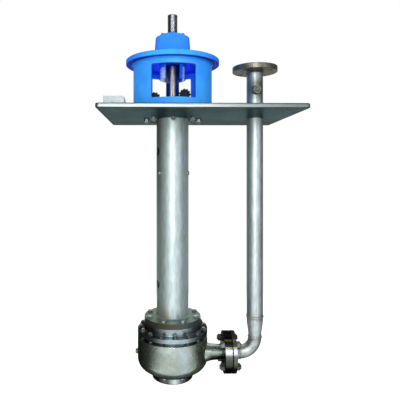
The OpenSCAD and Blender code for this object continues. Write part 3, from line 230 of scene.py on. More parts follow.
def remap(tree, value, low, high, to_low, to_high):
    """The stretch from low to high brought to the one from to_low to to_high, and held outside."""
    node = tree.nodes.new("ShaderNodeMapRange")
    node.clamp = True
    node.inputs["From Min"].default_value = low
    node.inputs["From Max"].default_value = high
    node.inputs["To Min"].default_value = to_low
    node.inputs["To Max"].default_value = to_high
    tree.links.new(value, node.inputs["Value"])
    return node.outputs["Result"]


def rise(tree, value, low, high, top=1.0):
    """0 up to low, and from there growing to top at high."""
    return remap(tree, value, low, high, 0.0, top)


def fall(tree, value, low, high, top=1.0):
    """top up to low, and from there shrinking to 0 at high."""
    return remap(tree, value, low, high, top, 0.0)


def band(tree, value, centre, half_width):
    """1 at centre, shrinking evenly to 0 at half_width from it."""
    return fall(tree, size_of(tree, less(tree, value, centre)), 0.0, half_width)


def mix_colour(tree, share, first, second):
    """The first colour at share 0 and the second at share 1."""
    node = tree.nodes.new("ShaderNodeMix")
    node.data_type = "RGBA"
    colours = [socket for socket in node.inputs if socket.type == "RGBA"]
    for value, socket in zip((share, first, second), (node.inputs[0], *colours)):
        feed(tree, value, socket)
    return [socket for socket in node.outputs if socket.type == "RGBA"][0]


def tinted(tree, colour, tint, *shares):
    """The colour drawn towards the tint by the product of the shares."""
    return mix_colour(tree, product(tree, *shares), colour, tint)


def scaled(colour, factor):
    """A lighter or darker tone of a colour."""
    return tuple(min(1, factor * part) for part in colour)


def one_axis(tree, vector, axis):
    """One part of a vector."""
    parts = tree.nodes.new("ShaderNodeSeparateXYZ")
    tree.links.new(vector, parts.inputs[0])
    return parts.outputs[axis]


def axis_value(tree, axis):
    """The place along one axis of the row frame, in metres."""
    places = tree.nodes.new("ShaderNodeTexCoord")
    return one_axis(tree, places.outputs["Object"], axis)


def facing(tree, axis):
    """The normal's share along one axis, from -1 to 1."""
    geometry = tree.nodes.new("ShaderNodeNewGeometry")
    return one_axis(tree, geometry.outputs["Normal"], axis)


def bevel_normal(tree, radius):
    """Normals that look as if edges were rounded to the radius."""
    node = tree.nodes.new("ShaderNodeBevel")
    node.samples = 4
    node.inputs["Radius"].default_value = radius
    return node.outputs["Normal"]


def bump(tree, height, distance, normal, strength=1.0):
    """The normal tilted by a height pattern that is distance metres deep."""
    node = tree.nodes.new("ShaderNodeBump")
    node.inputs["Strength"].default_value = strength
    node.inputs["Distance"].default_value = distance
    tree.links.new(height, node.inputs["Height"])
    tree.links.new(normal, node.inputs["Normal"])
    return node.outputs["Normal"]


def edge_mask(tree, radius):
    """Near 1 along outer and inner edges, 0 on open surface."""
    soft = bevel_normal(tree, radius)
    geometry = tree.nodes.new("ShaderNodeNewGeometry")
    likeness = tree.nodes.new("ShaderNodeVectorMath")
    likeness.operation = "DOT_PRODUCT"
    tree.links.new(soft, likeness.inputs[0])
    tree.links.new(geometry.outputs["Normal"], likeness.inputs[1])
    return fall(tree, likeness.outputs["Value"], 0.8, 0.995)


def wire(tree, shader, colour, rough, normal):
    """Link the three patterns that every material has."""
    tree.links.new(colour, shader.inputs["Base Color"])
    tree.links.new(rough, shader.inputs["Roughness"])
    tree.links.new(normal, shader.inputs["Normal"])


# Materials


def blue_paint(name, dirt=0.25, bare_above=None, wear_and_highlights=False):
    """Blue paint on cast iron: grain, specks, worn edges, grime, and painted light and shade by place, with
    painted highlights on the skirt where asked.
    """
    material, tree, shader = new_material(name)
    place = coords(tree)
    broad = noise(tree, place, 9, 3)
    fine = noise(tree, place, 95, 5, 0.6)
    colour = mix_colour(tree, rise(tree, broad, 0.35, 0.68), PAINT_DEEP, PAINT_LIGHT)
    colour = tinted(tree, colour, PAINT_SPECK, rise(tree, noise(tree, place, 230, 3), 0.62, 0.76, 0.5))
    worn = rise(tree, fine, 0.45, 0.7, 0.55)
    colour = tinted(tree, colour, PAINT_WORN, edge_mask(tree, 0.0035), worn)
    grime = rise(tree, noise(tree, place, 26, 6, 0.7), 0.52, 0.78, dirt)
    colour = tinted(tree, colour, PAINT_GRIME, grime, remap(tree, fine, 0.35, 0.6, 0.2, 1.0))
    colour = paint_light_and_shade(tree, colour)
    # Painted highlights on the skirt, where asked
    if wear_and_highlights:
        colour = skirt_highlights(tree, colour, fine)
    if bare_above is not None:
        bare = rise(tree, axis_value(tree, Z), bare_above, bare_above + 0.002, 0.85)
        colour = tinted(tree, colour, PAINT_BARE, bare)
    lumps = product(tree, noise(tree, place, 60, 3), 1.6)
    grain = math_node(tree, "ADD", noise(tree, place, 420, 4, 0.6), lumps)
    normal = bump(tree, grain, 0.0007, bevel_normal(tree, 0.0016))
    wire(tree, shader, colour, remap(tree, fine, 0.3, 0.7, 0.34, 0.52), normal)
    shader.inputs["Specular IOR Level"].default_value = 0.005
    shader.inputs["Specular Tint"].default_value = (*PAINT_SHEEN, 1)
    return material


def paint_light_and_shade(tree, colour):
    """Painted light and shade: deep blue inside the lantern, navy under its disc, at its ends and on the
    housing's flanks, a darker blue on the housing, and a pale lit front.
    """
    x, y, z = (axis_value(tree, axis) for axis in (X, Y, Z))
    off_centre = size_of(tree, x)
    reach = length(tree, x, y)
    under = math_node(tree, "LESS_THAN", z, DISC_UNDERSIDE + 0.0008)
    within = fall(tree, reach, LANTERN_INSIDE + 0.0005, LANTERN_INSIDE + 0.003)
    inside = product(tree, under, within)
    colour = tinted(tree, colour, PAINT_INSIDE_SHADE, inside, 0.7)
    ceiling = fall(tree, facing(tree, Z), -0.8, -0.3, 0.95)
    colour = tinted(tree, colour, PAINT_CEILING_SHADE, inside, ceiling)
    outside = rise(tree, reach, LANTERN_INSIDE + 0.02, LANTERN_INSIDE + 0.025)
    colour = tinted(tree, colour, PAINT_ENDS_SHADE, rise(tree, off_centre, 0.08, 0.165, 0.8), outside)
    housing = rise(tree, z, ABOVE_DISC, ABOVE_DISC + 0.003)
    colour = tinted(tree, colour, PAINT_HOUSING, housing, 0.5)
    front = product(tree, band(tree, x, 0.01, 0.075), less(tree, under, inside))
    colour = tinted(tree, colour, PAINT_FRONT_LIGHT, front, 0.55)
    down = fall(tree, facing(tree, Z), -0.95, -0.6, 0.95)
    beyond = rise(tree, reach, LANTERN_INSIDE, LANTERN_INSIDE + 0.004)
    under_shade = mix_colour(tree, rise(tree, off_centre, 0.06, 0.15), PAINT_UNDER_SHADE_FRONT, PAINT_UNDER_SHADE_ENDS)
    colour = tinted(tree, colour, under_shade, down, beyond)
    flanks = band(tree, facing(tree, Y), 0.03, 0.6)
    return tinted(tree, colour, PAINT_FLANK_SHADE, flanks, housing, 0.85)


def skirt_highlights(tree, colour, fine):
    """Painted highlights: bright patches low on the bearing cover's skirt, left and right of the shaft."""
    x = axis_value(tree, X)
    z = axis_value(tree, Z)
    left = product(tree, band(tree, x, -0.037, 0.014), fall(tree, z, 0.184, 0.194))
    right = product(tree, band(tree, x, 0.040, 0.006), fall(tree, z, 0.188, 0.196, 0.8))
    patches = product(tree, highest(tree, left, right), remap(tree, fine, 0.36, 0.5, 0.5, 1.0))
    return tinted(tree, colour, PAINT_HIGHLIGHT, rise(tree, patches, 0.15, 0.6, 0.95))


def steel(name, light, dark, tint, stretch, stain, metal=0.9, rough=(0.34, 0.5), bevel=0.0008, rim=0.0,
          sheen=(0.32, 0.35, 0.35), cut_edge=None, foot=None, socket=False, outlet=False, welds=()):
    """Pickled stainless steel with rolling marks, stains and heat tint round its welds."""
    material, tree, shader = new_material(name)
    place = coords(tree)
    along = coords(tree, stretch)
    across = coords(tree, tuple(9 / part for part in stretch))
    broad = noise(tree, place, 7, 5, 0.6, 0.4)
    streak = noise(tree, along, 28, 5, 0.65)
    fine = noise(tree, along, 210, 3, 0.6)
    colour = mix_colour(tree, rise(tree, streak, 0.32, 0.7), dark, light)
    colour = tinted(tree, colour, tint, rise(tree, broad, 0.45, 0.72), stain)
    spots = rise(tree, noise(tree, place, 46, 6, 0.75), 0.62, 0.8, 0.45)
    colour = tinted(tree, colour, scaled(dark, 0.55), spots)
    scratch = rise(tree, noise(tree, across, 34, 6, 0.8), 0.66, 0.74, 0.35)
    colour = tinted(tree, colour, scaled(light, 1.25), scratch)
    if rim:
        colour = tinted(tree, colour, scaled(dark, 0.25), edge_mask(tree, 0.0022), rim)
    if cut_edge:
        colour = cut_plate(tree, colour, broad, cut_edge)
    if foot is not None:
        colour = foot_flange(tree, colour, foot)
    if socket:
        colour = heat_spot_and_flank_shade(tree, colour, fine)
    if outlet:
        colour = outlet_light_and_shade(tree, colour)
    if welds:
        colour = weld_tint(tree, colour, place, welds)
    normal = bump(tree, fine, 0.00022, bevel_normal(tree, bevel))
    normal = bump(tree, broad, 0.0012, normal, 0.5)
    dullness = math_node(tree, "ADD", streak, product(tree, spots, 0.6))
    wire(tree, shader, colour, remap(tree, dullness, 0.3, 0.9, *rough), normal)
    shader.inputs["Metallic"].default_value = metal
    shader.inputs["Specular Tint"].default_value = (*sheen, 1)
    return material


def pipe_steel(name, welds, socket=False):
    """The steel of the reducer and the riser."""
    return steel(name, (0.64, 0.71, 0.745), (0.40, 0.47, 0.48), (0.34, 0.42, 0.34), stretch=(5, 5, 0.9),
                 stain=0.55, metal=0.72, socket=socket, welds=welds)


def weld_tint(tree, colour, place, welds):
    """Straw and blue heat tint along each weld, which is given as its height and half its width."""
    z = axis_value(tree, Z)
    wide = highest(tree, *(band(tree, z, height, half * 7) for height, half in welds))
    near = highest(tree, *(band(tree, z, height, half * 3.2) for height, half in welds))
    wave = remap(tree, noise(tree, place, 60, 4), 0.3, 0.7, 0.35, 1.0)
    colour = tinted(tree, colour, WELD_STRAW, wide, wave, 0.55)
    return tinted(tree, colour, WELD_BLUE, near, wave, 0.5)


def cut_plate(tree, colour, broad, box):
    """The plasma-cut edge, with painted shade on its left end and along its lower rim and a darker tone
    towards its right and top, and the mill skin left on the underside, darkened as painted shade towards
    its rear and rims.
    """
    low, high = box
    x, y, z = (axis_value(tree, axis) for axis in (X, Y, Z))
    up = facing(tree, Z)
    side = fall(tree, size_of(tree, up), 0.72, 0.9)
    colour = tinted(tree, colour, CUT_LEFT_SHADE, side, fall(tree, facing(tree, X), -0.65, -0.15, 0.9))
    colour = tinted(tree, colour, CUT_RIGHT, side, rise(tree, x, 0.10, 0.38, 0.66))
    lower_rim = band(tree, z, low[Z] + 0.0005, 0.0035)
    colour = tinted(tree, colour, CUT_LOWER_RIM_SHADE, side, lower_rim, 0.9)
    upper_rim = rise(tree, z, low[Z] + 0.0045, high[Z] - 0.001)
    fade = remap(tree, x, -0.06, 0.12, 0.9, 0.75)
    colour = tinted(tree, colour, CUT_UPPER_RIM, side, upper_rim, fade)
    skin = mix_colour(tree, rise(tree, broad, 0.38, 0.66), SKIN_SHADE_DARK, SKIN_SHADE_LIGHT)
    skin = tinted(tree, skin, SKIN_REAR_SHADE, rise(tree, y, -0.01, 0.11, 0.7))
    left_rim = fall(tree, x, low[X], low[X] + 0.014)
    right_rim = rise(tree, x, high[X] - 0.014, high[X])
    rear_rim = rise(tree, y, high[Y] - 0.022, high[Y] - 0.006)
    skin = tinted(tree, skin, SKIN_RIM_SHADE, highest(tree, left_rim, right_rim, rear_rim), 0.92)
    return tinted(tree, colour, skin, fall(tree, up, -0.9, -0.5))


def foot_flange(tree, colour, foot):
    """The column's green left with olive painted shade on its left side, and a dark rim, brown to the left
    and green to the right, and brown haze at the flange of its foot.
    """
    x = axis_value(tree, X)
    z = axis_value(tree, Z)
    up = facing(tree, Z)
    colour = tinted(tree, colour, GREEN_WASH, fall(tree, x, -0.055, -0.005, 0.5))
    on = fall(tree, z, foot + 0.0205, foot + 0.0225)
    rim_tone = mix_colour(tree, rise(tree, x, -0.01, 0.04), FOOT_RIM_LEFT, FOOT_RIM_RIGHT)
    colour = tinted(tree, colour, rim_tone, on, fall(tree, size_of(tree, up), 0.5, 0.8, 0.95))
    colour = tinted(tree, colour, FLANGE_TOP, on, rise(tree, up, 0.5, 0.8, 0.75))
    above = less(tree, fall(tree, z, foot + 0.03, foot + 0.10, 0.7), on)
    colour = tinted(tree, colour, BROWN_HAZE, above, band(tree, x, -0.035, 0.03))
    flank = fall(tree, x, -0.056, -0.036, 0.85)
    return tinted(tree, colour, COLUMN_FLANK_SHADE, flank, remap(tree, z, -0.42, -0.15, 0.3, 1.0))


def heat_spot_and_flank_shade(tree, colour, fine):
    """The scorched patch round the gauge socket, and painted shade on the sides of the riser."""
    off = size_of(tree, less(tree, axis_value(tree, X), RISER_X))
    colour = tinted(tree, colour, RISER_FLANK_SHADE, rise(tree, off, 0.014, 0.027, 0.8))
    away = length(tree, *(less(tree, axis_value(tree, axis), GAUGE_SOCKET[axis]) for axis in (X, Y, Z)))
    patch = fall(tree, away, 0.022, 0.052, 0.92)
    return tinted(tree, colour, SCORCHED, patch, remap(tree, fine, 0.3, 0.6, 0.5, 1.0))


def outlet_light_and_shade(tree, colour):
    """Painted light and shade on the outlet's flanges: a dark base, a highlight, a dark band, dark top and
    bottom, and two yellow glints.
    """
    x = axis_value(tree, X)
    z = less(tree, axis_value(tree, Z), OUTLET_Z)
    on = product(tree, rise(tree, x, 0.178, 0.183), fall(tree, x, 0.2375, 0.2400))
    colour = tinted(tree, colour, OUTLET_BASE_SHADE, on, 0.88)
    highlight_band = fall(tree, size_of(tree, less(tree, z, 0.0275)), 0.004, 0.016, 0.9)
    colour = tinted(tree, colour, OUTLET_HIGHLIGHT, on, highlight_band)
    colour = tinted(tree, colour, OUTLET_SHADE, on, rise(tree, z, 0.040, 0.043, 0.92))
    edge_shade = highest(tree, rise(tree, z, 0.061, 0.064, 0.95), fall(tree, z, -0.036, -0.016, 0.93))
    colour = tinted(tree, colour, OUTLET_EDGE_SHADE, on, edge_shade)
    yellow_glints = highest(tree, band(tree, z, 0.0590, 0.0036), band(tree, z, 0.0400, 0.0026))
    return tinted(tree, colour, YELLOW_GLINT, on, yellow_glints, 0.75)


def casing_light_and_shade(tree, colour, broad):
    """Painted light and shade on the casing: shade on its olive left and dull right, a pale highlight at
    its front, and shade under its outlet neck.
    """
    x = axis_value(tree, X)
    z = less(tree, axis_value(tree, Z), OUTLET_Z)
    left = fall(tree, x, -0.115, -0.045, 0.92)
    colour = tinted(tree, colour, CASING_LEFT_SHADE, left, remap(tree, broad, 0.35, 0.6, 0.75, 1.0))
    front = band(tree, x, 0.040, 0.028)
    colour = tinted(tree, colour, CASING_FRONT_HIGHLIGHT, front, remap(tree, broad, 0.3, 0.6, 0.3, 0.75))
    colour = tinted(tree, colour, CASING_RIGHT_SHADE, band(tree, x, 0.090, 0.040), 0.6)
    underside = fall(tree, z, -0.006, 0.006, 0.95)
    colour = tinted(tree, colour, CASING_NECK_SHADE, rise(tree, x, 0.120, 0.142), underside)
    return outlet_light_and_shade(tree, colour)


def cover_end_shade(tree, colour):
    """Painted shade on the ends of the casing cover and its bracket, left and right of their bright front.
    """
    x = axis_value(tree, X)
    ends = highest(tree, fall(tree, x, -0.075, -0.015, 0.9), rise(tree, x, 0.05, 0.095, 0.75))
    return tinted(tree, colour, COVER_ENDS_SHADE, ends)


def mouth_light_and_shade(tree, colour, low):
    """A painted highlight at the front of the suction flange, and painted shade above it."""
    x, y, z = (axis_value(tree, axis) for axis in (X, Y, Z))
    neck_shade = rise(tree, z, low + 0.0195, low + 0.0215, 0.95)
    colour = tinted(tree, colour, MOUTH_NECK_SHADE, neck_shade)
    front = product(tree, band(tree, x, 0.006, 0.024), fall(tree, y, -0.03, 0.0))
    return tinted(tree, colour, MOUTH_HIGHLIGHT, front, less(tree, 1.0, neck_shade))


def cast(name, light, dark, tint, metal, rough=(0.34, 0.6), grain=0.0012, shaded_casing=False, cover=False,
         mouth=None):
    """Cast stainless steel: sand skin, pits and stains, and painted light and shade where asked."""
    material, tree, shader = new_material(name)
    place = coords(tree)
    broad = noise(tree, place, 11, 5, 0.65, 0.6)
    skin = noise(tree, place, 150, 6, 0.7)
    colour = mix_colour(tree, rise(tree, broad, 0.36, 0.66), dark, light)
    colour = tinted(tree, colour, tint, rise(tree, noise(tree, place, 24, 5, 0.7), 0.5, 0.74, 0.6))
    pits = fall(tree, cells(tree, place, 260), 0.02, 0.16)
    colour = tinted(tree, colour, scaled(dark, 0.35), pits, 0.4)
    wear_and_highlights = remap(tree, skin, 0.35, 0.6, 0.2, 0.8)
    colour = tinted(tree, colour, scaled(light, 1.5), edge_mask(tree, 0.003), wear_and_highlights)
    if shaded_casing:
        colour = casing_light_and_shade(tree, colour, broad)
    if cover:
        colour = cover_end_shade(tree, colour)
    if mouth is not None:
        colour = mouth_light_and_shade(tree, colour, mouth)
    swell = math_node(tree, "ADD", skin, product(tree, broad, 1.4))
    height = less(tree, swell, product(tree, pits, 0.35))
    normal = bump(tree, height, grain, bevel_normal(tree, 0.0018))
    wire(tree, shader, colour, remap(tree, skin, 0.3, 0.7, *rough), normal)
    shader.inputs["Metallic"].default_value = metal
    shader.inputs["Specular Tint"].default_value = (0.28, 0.31, 0.30, 1)
    return material


def turned(name, light, dark, rough, depth, oiled_below=None):
    """Turned and polished steel with tool marks round its upright axis, 0.9 mm apart."""
    material, tree, shader = new_material(name)
    place = coords(tree)
    lines = noise(tree, coords(tree, (0.4, 0.4, 40)), 60, 4, 0.7)
    smear = noise(tree, place, 22, 5, 0.65)
    z = axis_value(tree, Z)
    colour = mix_colour(tree, rise(tree, lines, 0.35, 0.65), dark, light)
    colour = tinted(tree, colour, scaled(dark, 0.6), rise(tree, smear, 0.55, 0.8, 0.4))
    if oiled_below is not None:
        colour = tinted(tree, colour, OILED_SHAFT, fall(tree, z, oiled_below, oiled_below + 0.005, 0.92))
    wave = math_node(tree, "SINE", product(tree, z, math.tau / 0.0009))
    height = math_node(tree, "ADD", wave, product(tree, lines, 2))
    normal = bump(tree, height, depth, bevel_normal(tree, 0.0006))
    dullness = math_node(tree, "ADD", lines, smear)
    wire(tree, shader, colour, remap(tree, dullness, 0.7, 1.3, *rough), normal)
    shader.inputs["Metallic"].default_value = 1.0
    return material


def threaded(name, light, dark, axis, pitch, head=None):
    """Plated screws: threads round the axis, apart from the stretch given as head."""
    material, tree, shader = new_material(name)
    place = coords(tree)
    fine = noise(tree, place, 330, 4)
    colour = mix_colour(tree, rise(tree, noise(tree, place, 38, 4), 0.35, 0.68), dark, light)
    colour = tinted(tree, colour, scaled(dark, 0.4), rise(tree, fine, 0.6, 0.78, 0.5))
    colour = tinted(tree, colour, scaled(light, 1.35), edge_mask(tree, 0.0012), 0.6)
    along = axis_value(tree, axis)
    cut = 1.0
    if head is not None:
        above = math_node(tree, "GREATER_THAN", along, head[0])
        below = math_node(tree, "LESS_THAN", along, head[1])
        cut = less(tree, 1.0, product(tree, above, below))
    wave = math_node(tree, "SINE", product(tree, along, math.tau / pitch))
    wave = product(tree, wave, cut)
    # Painted shade: darker in the thread roots
    colour = tinted(tree, colour, scaled(dark, 0.3), fall(tree, wave, -1, 0.2, 0.55), cut)
    normal = bump(tree, wave, 0.0004, bevel_normal(tree, 0.0007))
    normal = bump(tree, fine, 0.0001, normal)
    wire(tree, shader, colour, remap(tree, fine, 0.3, 0.7, 0.24, 0.42), normal)
    shader.inputs["Metallic"].default_value = 0.95
    return material


def plain_metal(name, light, dark, metal=0.9, rough=(0.28, 0.46)):
    """Small metal pieces without threads: cloudy tone and worn bright edges."""
    material, tree, shader = new_material(name)
    place = coords(tree)
    fine = noise(tree, place, 420, 4)
    colour = mix_colour(tree, rise(tree, noise(tree, place, 55, 4), 0.35, 0.68), dark, light)
    colour = tinted(tree, colour, scaled(light, 1.5), edge_mask(tree, 0.0011), 0.6)
    normal = bump(tree, fine, 0.00012, bevel_normal(tree, 0.0007))
    wire(tree, shader, colour, remap(tree, fine, 0.3, 0.7, *rough), normal)
    shader.inputs["Metallic"].default_value = metal
    return material


def moulded(name, light, dark, rough=(0.38, 0.55), scale=520, dust_share=0.25, mirror=0.4):
    """Moulded plastic or rubber with a fine eroded grain and dust."""
    material, tree, shader = new_material(name)
    place = coords(tree)
    fine = noise(tree, place, scale, 4, 0.6)
    colour = mix_colour(tree, rise(tree, noise(tree, place, 18, 4), 0.38, 0.7), dark, light)
    colour = tinted(tree, colour, DUST, rise(tree, noise(tree, place, 70, 6, 0.75), 0.56, 0.8, dust_share))
    normal = bump(tree, fine, 0.0002, bevel_normal(tree, 0.0012))
    wire(tree, shader, colour, remap(tree, fine, 0.3, 0.7, *rough), normal)
    shader.inputs["Specular IOR Level"].default_value = mirror
    return material


PLATE = steel("plate_steel", (0.50, 0.55, 0.56), (0.33, 0.37, 0.385), (0.40, 0.40, 0.34),
              stretch=(0.7, 6, 6), stain=0.5, bevel=0.0014, sheen=(0.25, 0.31, 0.32),
              cut_edge=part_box("sole_plate"))
PIPE = pipe_steel("pipe_steel", welds=((-0.738, 0.004), (REDUCER_TOP, 0.003), (ELBOW_TOP, 0.003)))
RISER_STEEL = pipe_steel("riser_steel", welds=((REDUCER_TOP, 0.003), (RISER_TINT_Z, 0.003)), socket=True)
COLUMN = steel("column_steel", (0.62, 0.715, 0.74), (0.39, 0.47, 0.48), (0.32, 0.43, 0.34),
               stretch=(5, 5, 0.9), stain=0.55, metal=0.72, foot=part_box("column_pipe")[0][2])
ELBOW = steel("elbow_steel", (0.58, 0.63, 0.63), (0.30, 0.34, 0.33), (0.32, 0.34, 0.24),
              stretch=(2, 2, 2), stain=0.6, metal=0.85, rough=(0.38, 0.52), outlet=True,
              welds=((ELBOW_TOP, 0.003),))
FLANGE = steel("flange_steel", (0.38, 0.37, 0.32), (0.13, 0.12, 0.09), (0.20, 0.16, 0.10),
               stretch=(3, 3, 6), stain=0.7, metal=0.88, rough=(0.3, 0.52))
COVER = steel("cover_sheet", (0.29, 0.33, 0.35), (0.23, 0.265, 0.28), (0.26, 0.28, 0.26),
              stretch=(0.8, 6, 6), stain=0.3, metal=0.7, rim=0.7)
WELD = steel("weld_steel", (0.58, 0.61, 0.60), (0.30, 0.32, 0.32), (0.34, 0.27, 0.17),
             stretch=(3, 3, 3), stain=0.8, metal=0.85, rough=(0.28, 0.5))
BLUE = blue_paint("blue_paint")
BLUE_SCREWS = blue_paint("painted_screws", 0.4, bare_above=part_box("upper_cover_screws")[1][2] - 0.004)
HIGHLIT_BLUE = blue_paint("highlit_paint", wear_and_highlights=True)
CASTING = cast("cast_casing", (0.53, 0.61, 0.58), (0.27, 0.32, 0.29), (0.26, 0.30, 0.20), 0.95,
               rough=(0.2, 0.38), grain=0.00022, shaded_casing=True)
CAST_COVER = cast("cast_cover", (0.44, 0.54, 0.59), (0.24, 0.30, 0.33), (0.20, 0.24, 0.20), 0.95,
                  rough=(0.24, 0.4), grain=0.00018, cover=True)
MOUTH = cast("cast_mouth", (0.14, 0.165, 0.15), (0.035, 0.042, 0.03), (0.07, 0.065, 0.03), 1.0,
             rough=(0.16, 0.34), grain=0.0004, mouth=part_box("suction_cover")[0][2])
IRON = cast("inner_iron", (0.30, 0.32, 0.32), (0.16, 0.17, 0.17), (0.22, 0.19, 0.15), 0.6)
SHAFT = turned("shaft_steel", (0.42, 0.45, 0.50), (0.35, 0.38, 0.42), (0.1, 0.14), 0.00005,
               oiled_below=DISC_UNDERSIDE)
RING_STEEL = turned("bearing_steel", (0.66, 0.67, 0.69), (0.5, 0.51, 0.53), (0.08, 0.18), 0.00006)
COLUMN_BOLTS = threaded("column_bolt_steel", (0.50, 0.54, 0.53), (0.26, 0.29, 0.28), Z, 0.00175,
                        head=(0.0305, 0.0395))
STUDS = threaded("cover_stud_steel", (0.74, 0.77, 0.76), (0.45, 0.48, 0.47), Z, 0.0015)
OUTLET_STUDS = threaded("outlet_stud_steel", (0.55, 0.57, 0.55), (0.28, 0.30, 0.28), X, 0.002)
BOLTS = plain_metal("screw_steel", (0.48, 0.52, 0.52), (0.24, 0.27, 0.26))
DARK_SCREWS = plain_metal("dark_screws", (0.12, 0.125, 0.13), (0.05, 0.052, 0.055), 0.6)
DARK_NUTS = plain_metal("dark_nuts", (0.17, 0.18, 0.16), (0.055, 0.06, 0.05), 0.75, (0.25, 0.45))
BRASS = plain_metal("brass", (0.72, 0.55, 0.24), (0.50, 0.36, 0.14), 1.0, (0.2, 0.38))
COPPER = plain_metal("copper_tube", (0.76, 0.42, 0.27), (0.48, 0.25, 0.16), 1.0, (0.22, 0.4))
PLASTIC = moulded("black_plastic", (0.016, 0.016, 0.018), (0.006, 0.006, 0.007), dust_share=0.08,
                  mirror=0.12)
RUBBER = moulded("black_rubber", (0.03, 0.03, 0.03), (0.014, 0.014, 0.014), rough=(0.55, 0.75))
GASKET = moulded("gasket", (0.09, 0.085, 0.07), (0.04, 0.04, 0.035), rough=(0.6, 0.8), scale=900)

BY_NODE = {
    "sole_plate": PLATE, "instrument_cover": COVER, "instrument_screws": BOLTS,
    "lantern": BLUE, "lantern_screws": DARK_SCREWS, "bearing_housing": BLUE,
    "housing_screws": DARK_SCREWS, "upper_bearing_cover": BLUE, "upper_cover_screws": BLUE_SCREWS,
    "upper_seal": RUBBER, "lower_bearing_cover": HIGHLIT_BLUE, "lower_cover_screws": BOLTS,
    "lower_seal": RUBBER, "upper_outer_rings": RING_STEEL, "lower_outer_ring": RING_STEEL,
    "lubricator_caps": PLASTIC, "lubricator_bodies": PLASTIC, "lubricator_fittings": BRASS,
    "grease_tubes": COPPER, "column_pipe": COLUMN, "column_bolts": COLUMN_BOLTS, "column_nuts": BOLTS,
    "bearing_spider": IRON, "spider_screws": BOLTS, "spider_bush": RUBBER,
    "bearing_bracket": CAST_COVER, "bracket_bolts": BOLTS, "guide_bush": RUBBER,
    "casing_cover": CAST_COVER, "throttle_bush": RUBBER, "casing_seal_ring": RUBBER,
    "cover_studs": STUDS, "cover_nuts": DARK_NUTS, "volute_casing": CASTING, "casing_plug": DARK_NUTS,
    "suction_cover": MOUTH, "suction_screws": BOLTS, "wear_ring": RING_STEEL,
    "discharge_gasket": GASKET, "discharge_studs": OUTLET_STUDS, "discharge_nuts": DARK_NUTS,
    "discharge_elbow": ELBOW, "pipe_reducer": PIPE, "riser_pipe": RISER_STEEL, "riser_flange": FLANGE,
    "riser_grommet": RUBBER, "gauge_plug": DARK_NUTS, "drive_shaft": SHAFT, "shaft_locknut": RING_STEEL,
    "upper_inner_rings": RING_STEEL, "lower_inner_ring": RING_STEEL, "shaft_coupling": IRON,
    "coupling_screws": DARK_SCREWS, "line_shaft": SHAFT, "spider_sleeve": RING_STEEL,
    "guide_sleeve": RING_STEEL, "impeller": IRON, "impeller_nut": RING_STEEL,
    "upper_ball_sets": BRASS, "lower_ball_set": BRASS,
}
for name, obj in nodes.items():
    obj.data.materials.clear()
    obj.data.materials.append(BY_NODE[name])


# Weld beads

STEPS_IN_RIPPLE = 5
POINTS_IN_RING = 8


def add_object(name, data):
    """A new object in the scene."""
    thing = bpy.data.objects.new(name, data)
    scene.collection.objects.link(thing)
    return thing


def bead_ring(shape, place, angle, radius, half_width, height, shift):
    """One cross section of a bead: full height outside the pipe's wall, and a little way into it."""
    ring = []
    for point in range(POINTS_IN_RING):
        lift = math.sin(math.tau * point / POINTS_IN_RING)
        side = math.cos(math.tau * point / POINTS_IN_RING)
        reach = radius + height * lift * (1.0 if lift > 0 else 0.3)
        corner = Vector((reach * math.cos(angle), reach * math.sin(angle), shift + half_width * side))
        ring.append(shape.verts.new(place @ corner))
    return ring


def weld_bead(name, centre, axis, radius, width, height, ripples, seed=0.0):
    """A closed rippled bead lying round a pipe, with the scales that a hand weld leaves."""
    shape = bmesh.new()
    turn = Vector((0, 0, 1)).rotation_difference(Vector(axis)).to_matrix().to_4x4()
    place = Matrix.Translation(Vector(centre)) @ turn
    steps = ripples * STEPS_IN_RIPPLE
    rings = []
    for step in range(steps):
        angle = math.tau * step / steps
        phase = (step % STEPS_IN_RIPPLE) / STEPS_IN_RIPPLE
        scale = 0.82 + 0.18 * math.sin(math.pi * phase) + 0.05 * math.sin(3 * angle + seed)
        shift = 0.12 * width * math.sin(5 * angle + 1.7 * seed) + 0.05 * width * math.sin(17 * angle)
        rings.append(bead_ring(shape, place, angle, radius, 0.5 * width * scale, height * scale, shift))
    for ring, following in zip(rings, rings[1:] + rings[:1]):
        for point in range(POINTS_IN_RING):
            after = (point + 1) % POINTS_IN_RING
            shape.faces.new((ring[point], following[point], following[after], ring[after]))
    bmesh.ops.recalc_face_normals(shape, faces=shape.faces)
    mesh = bpy.data.meshes.new(name)
    shape.to_mesh(mesh)
    shape.free()
    for face in mesh.polygons:
        face.use_smooth = True
    mesh.materials.append(WELD)
    bead = add_object(name, mesh)
    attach(bead, "frame")


elbow_radius = 0.02435
reducer_radius = 0.0304
weld_bead("weld_elbow_top", (RISER_X, RISER_Y, ELBOW_TOP), (0, 0, 1), elbow_radius, 0.006, 0.0021, 46)
weld_bead("weld_reducer_top", (RISER_X, RISER_Y, REDUCER_TOP), (0, 0, 1), reducer_radius, 0.007, 0.0022, 54,
          seed=1.3)
weld_bead("weld_elbow_neck", (ELBOW_NECK, RISER_Y, OUTLET_Z), (1, 0, 0), elbow_radius, 0.006, 0.0021, 46,
          seed=2.1)


# Stage, light and camera


def flat_mesh(name, width, depth, z=0.0):
    """A mesh of one level rectangle at the height z."""
    shape = bmesh.new()
    corners = ((-1, -1), (1, -1), (1, 1), (-1, 1))
    shape.faces.new([shape.verts.new((x * width / 2, y * depth / 2, z)) for x, y in corners])
    mesh = bpy.data.meshes.new(name)
    shape.to_mesh(mesh)
    shape.free()
    return mesh


def seen_share(tree):
    """1 for rays of the camera, of reflections and through glass, 0 for soft light."""
    path = tree.nodes.new("ShaderNodeLightPath")
    kinds = ("Is Camera Ray", "Is Glossy Ray", "Is Transmission Ray")
    return math_node(tree, "MINIMUM", chain(tree, "ADD", [path.outputs[kind] for kind in kinds]), 1.0)


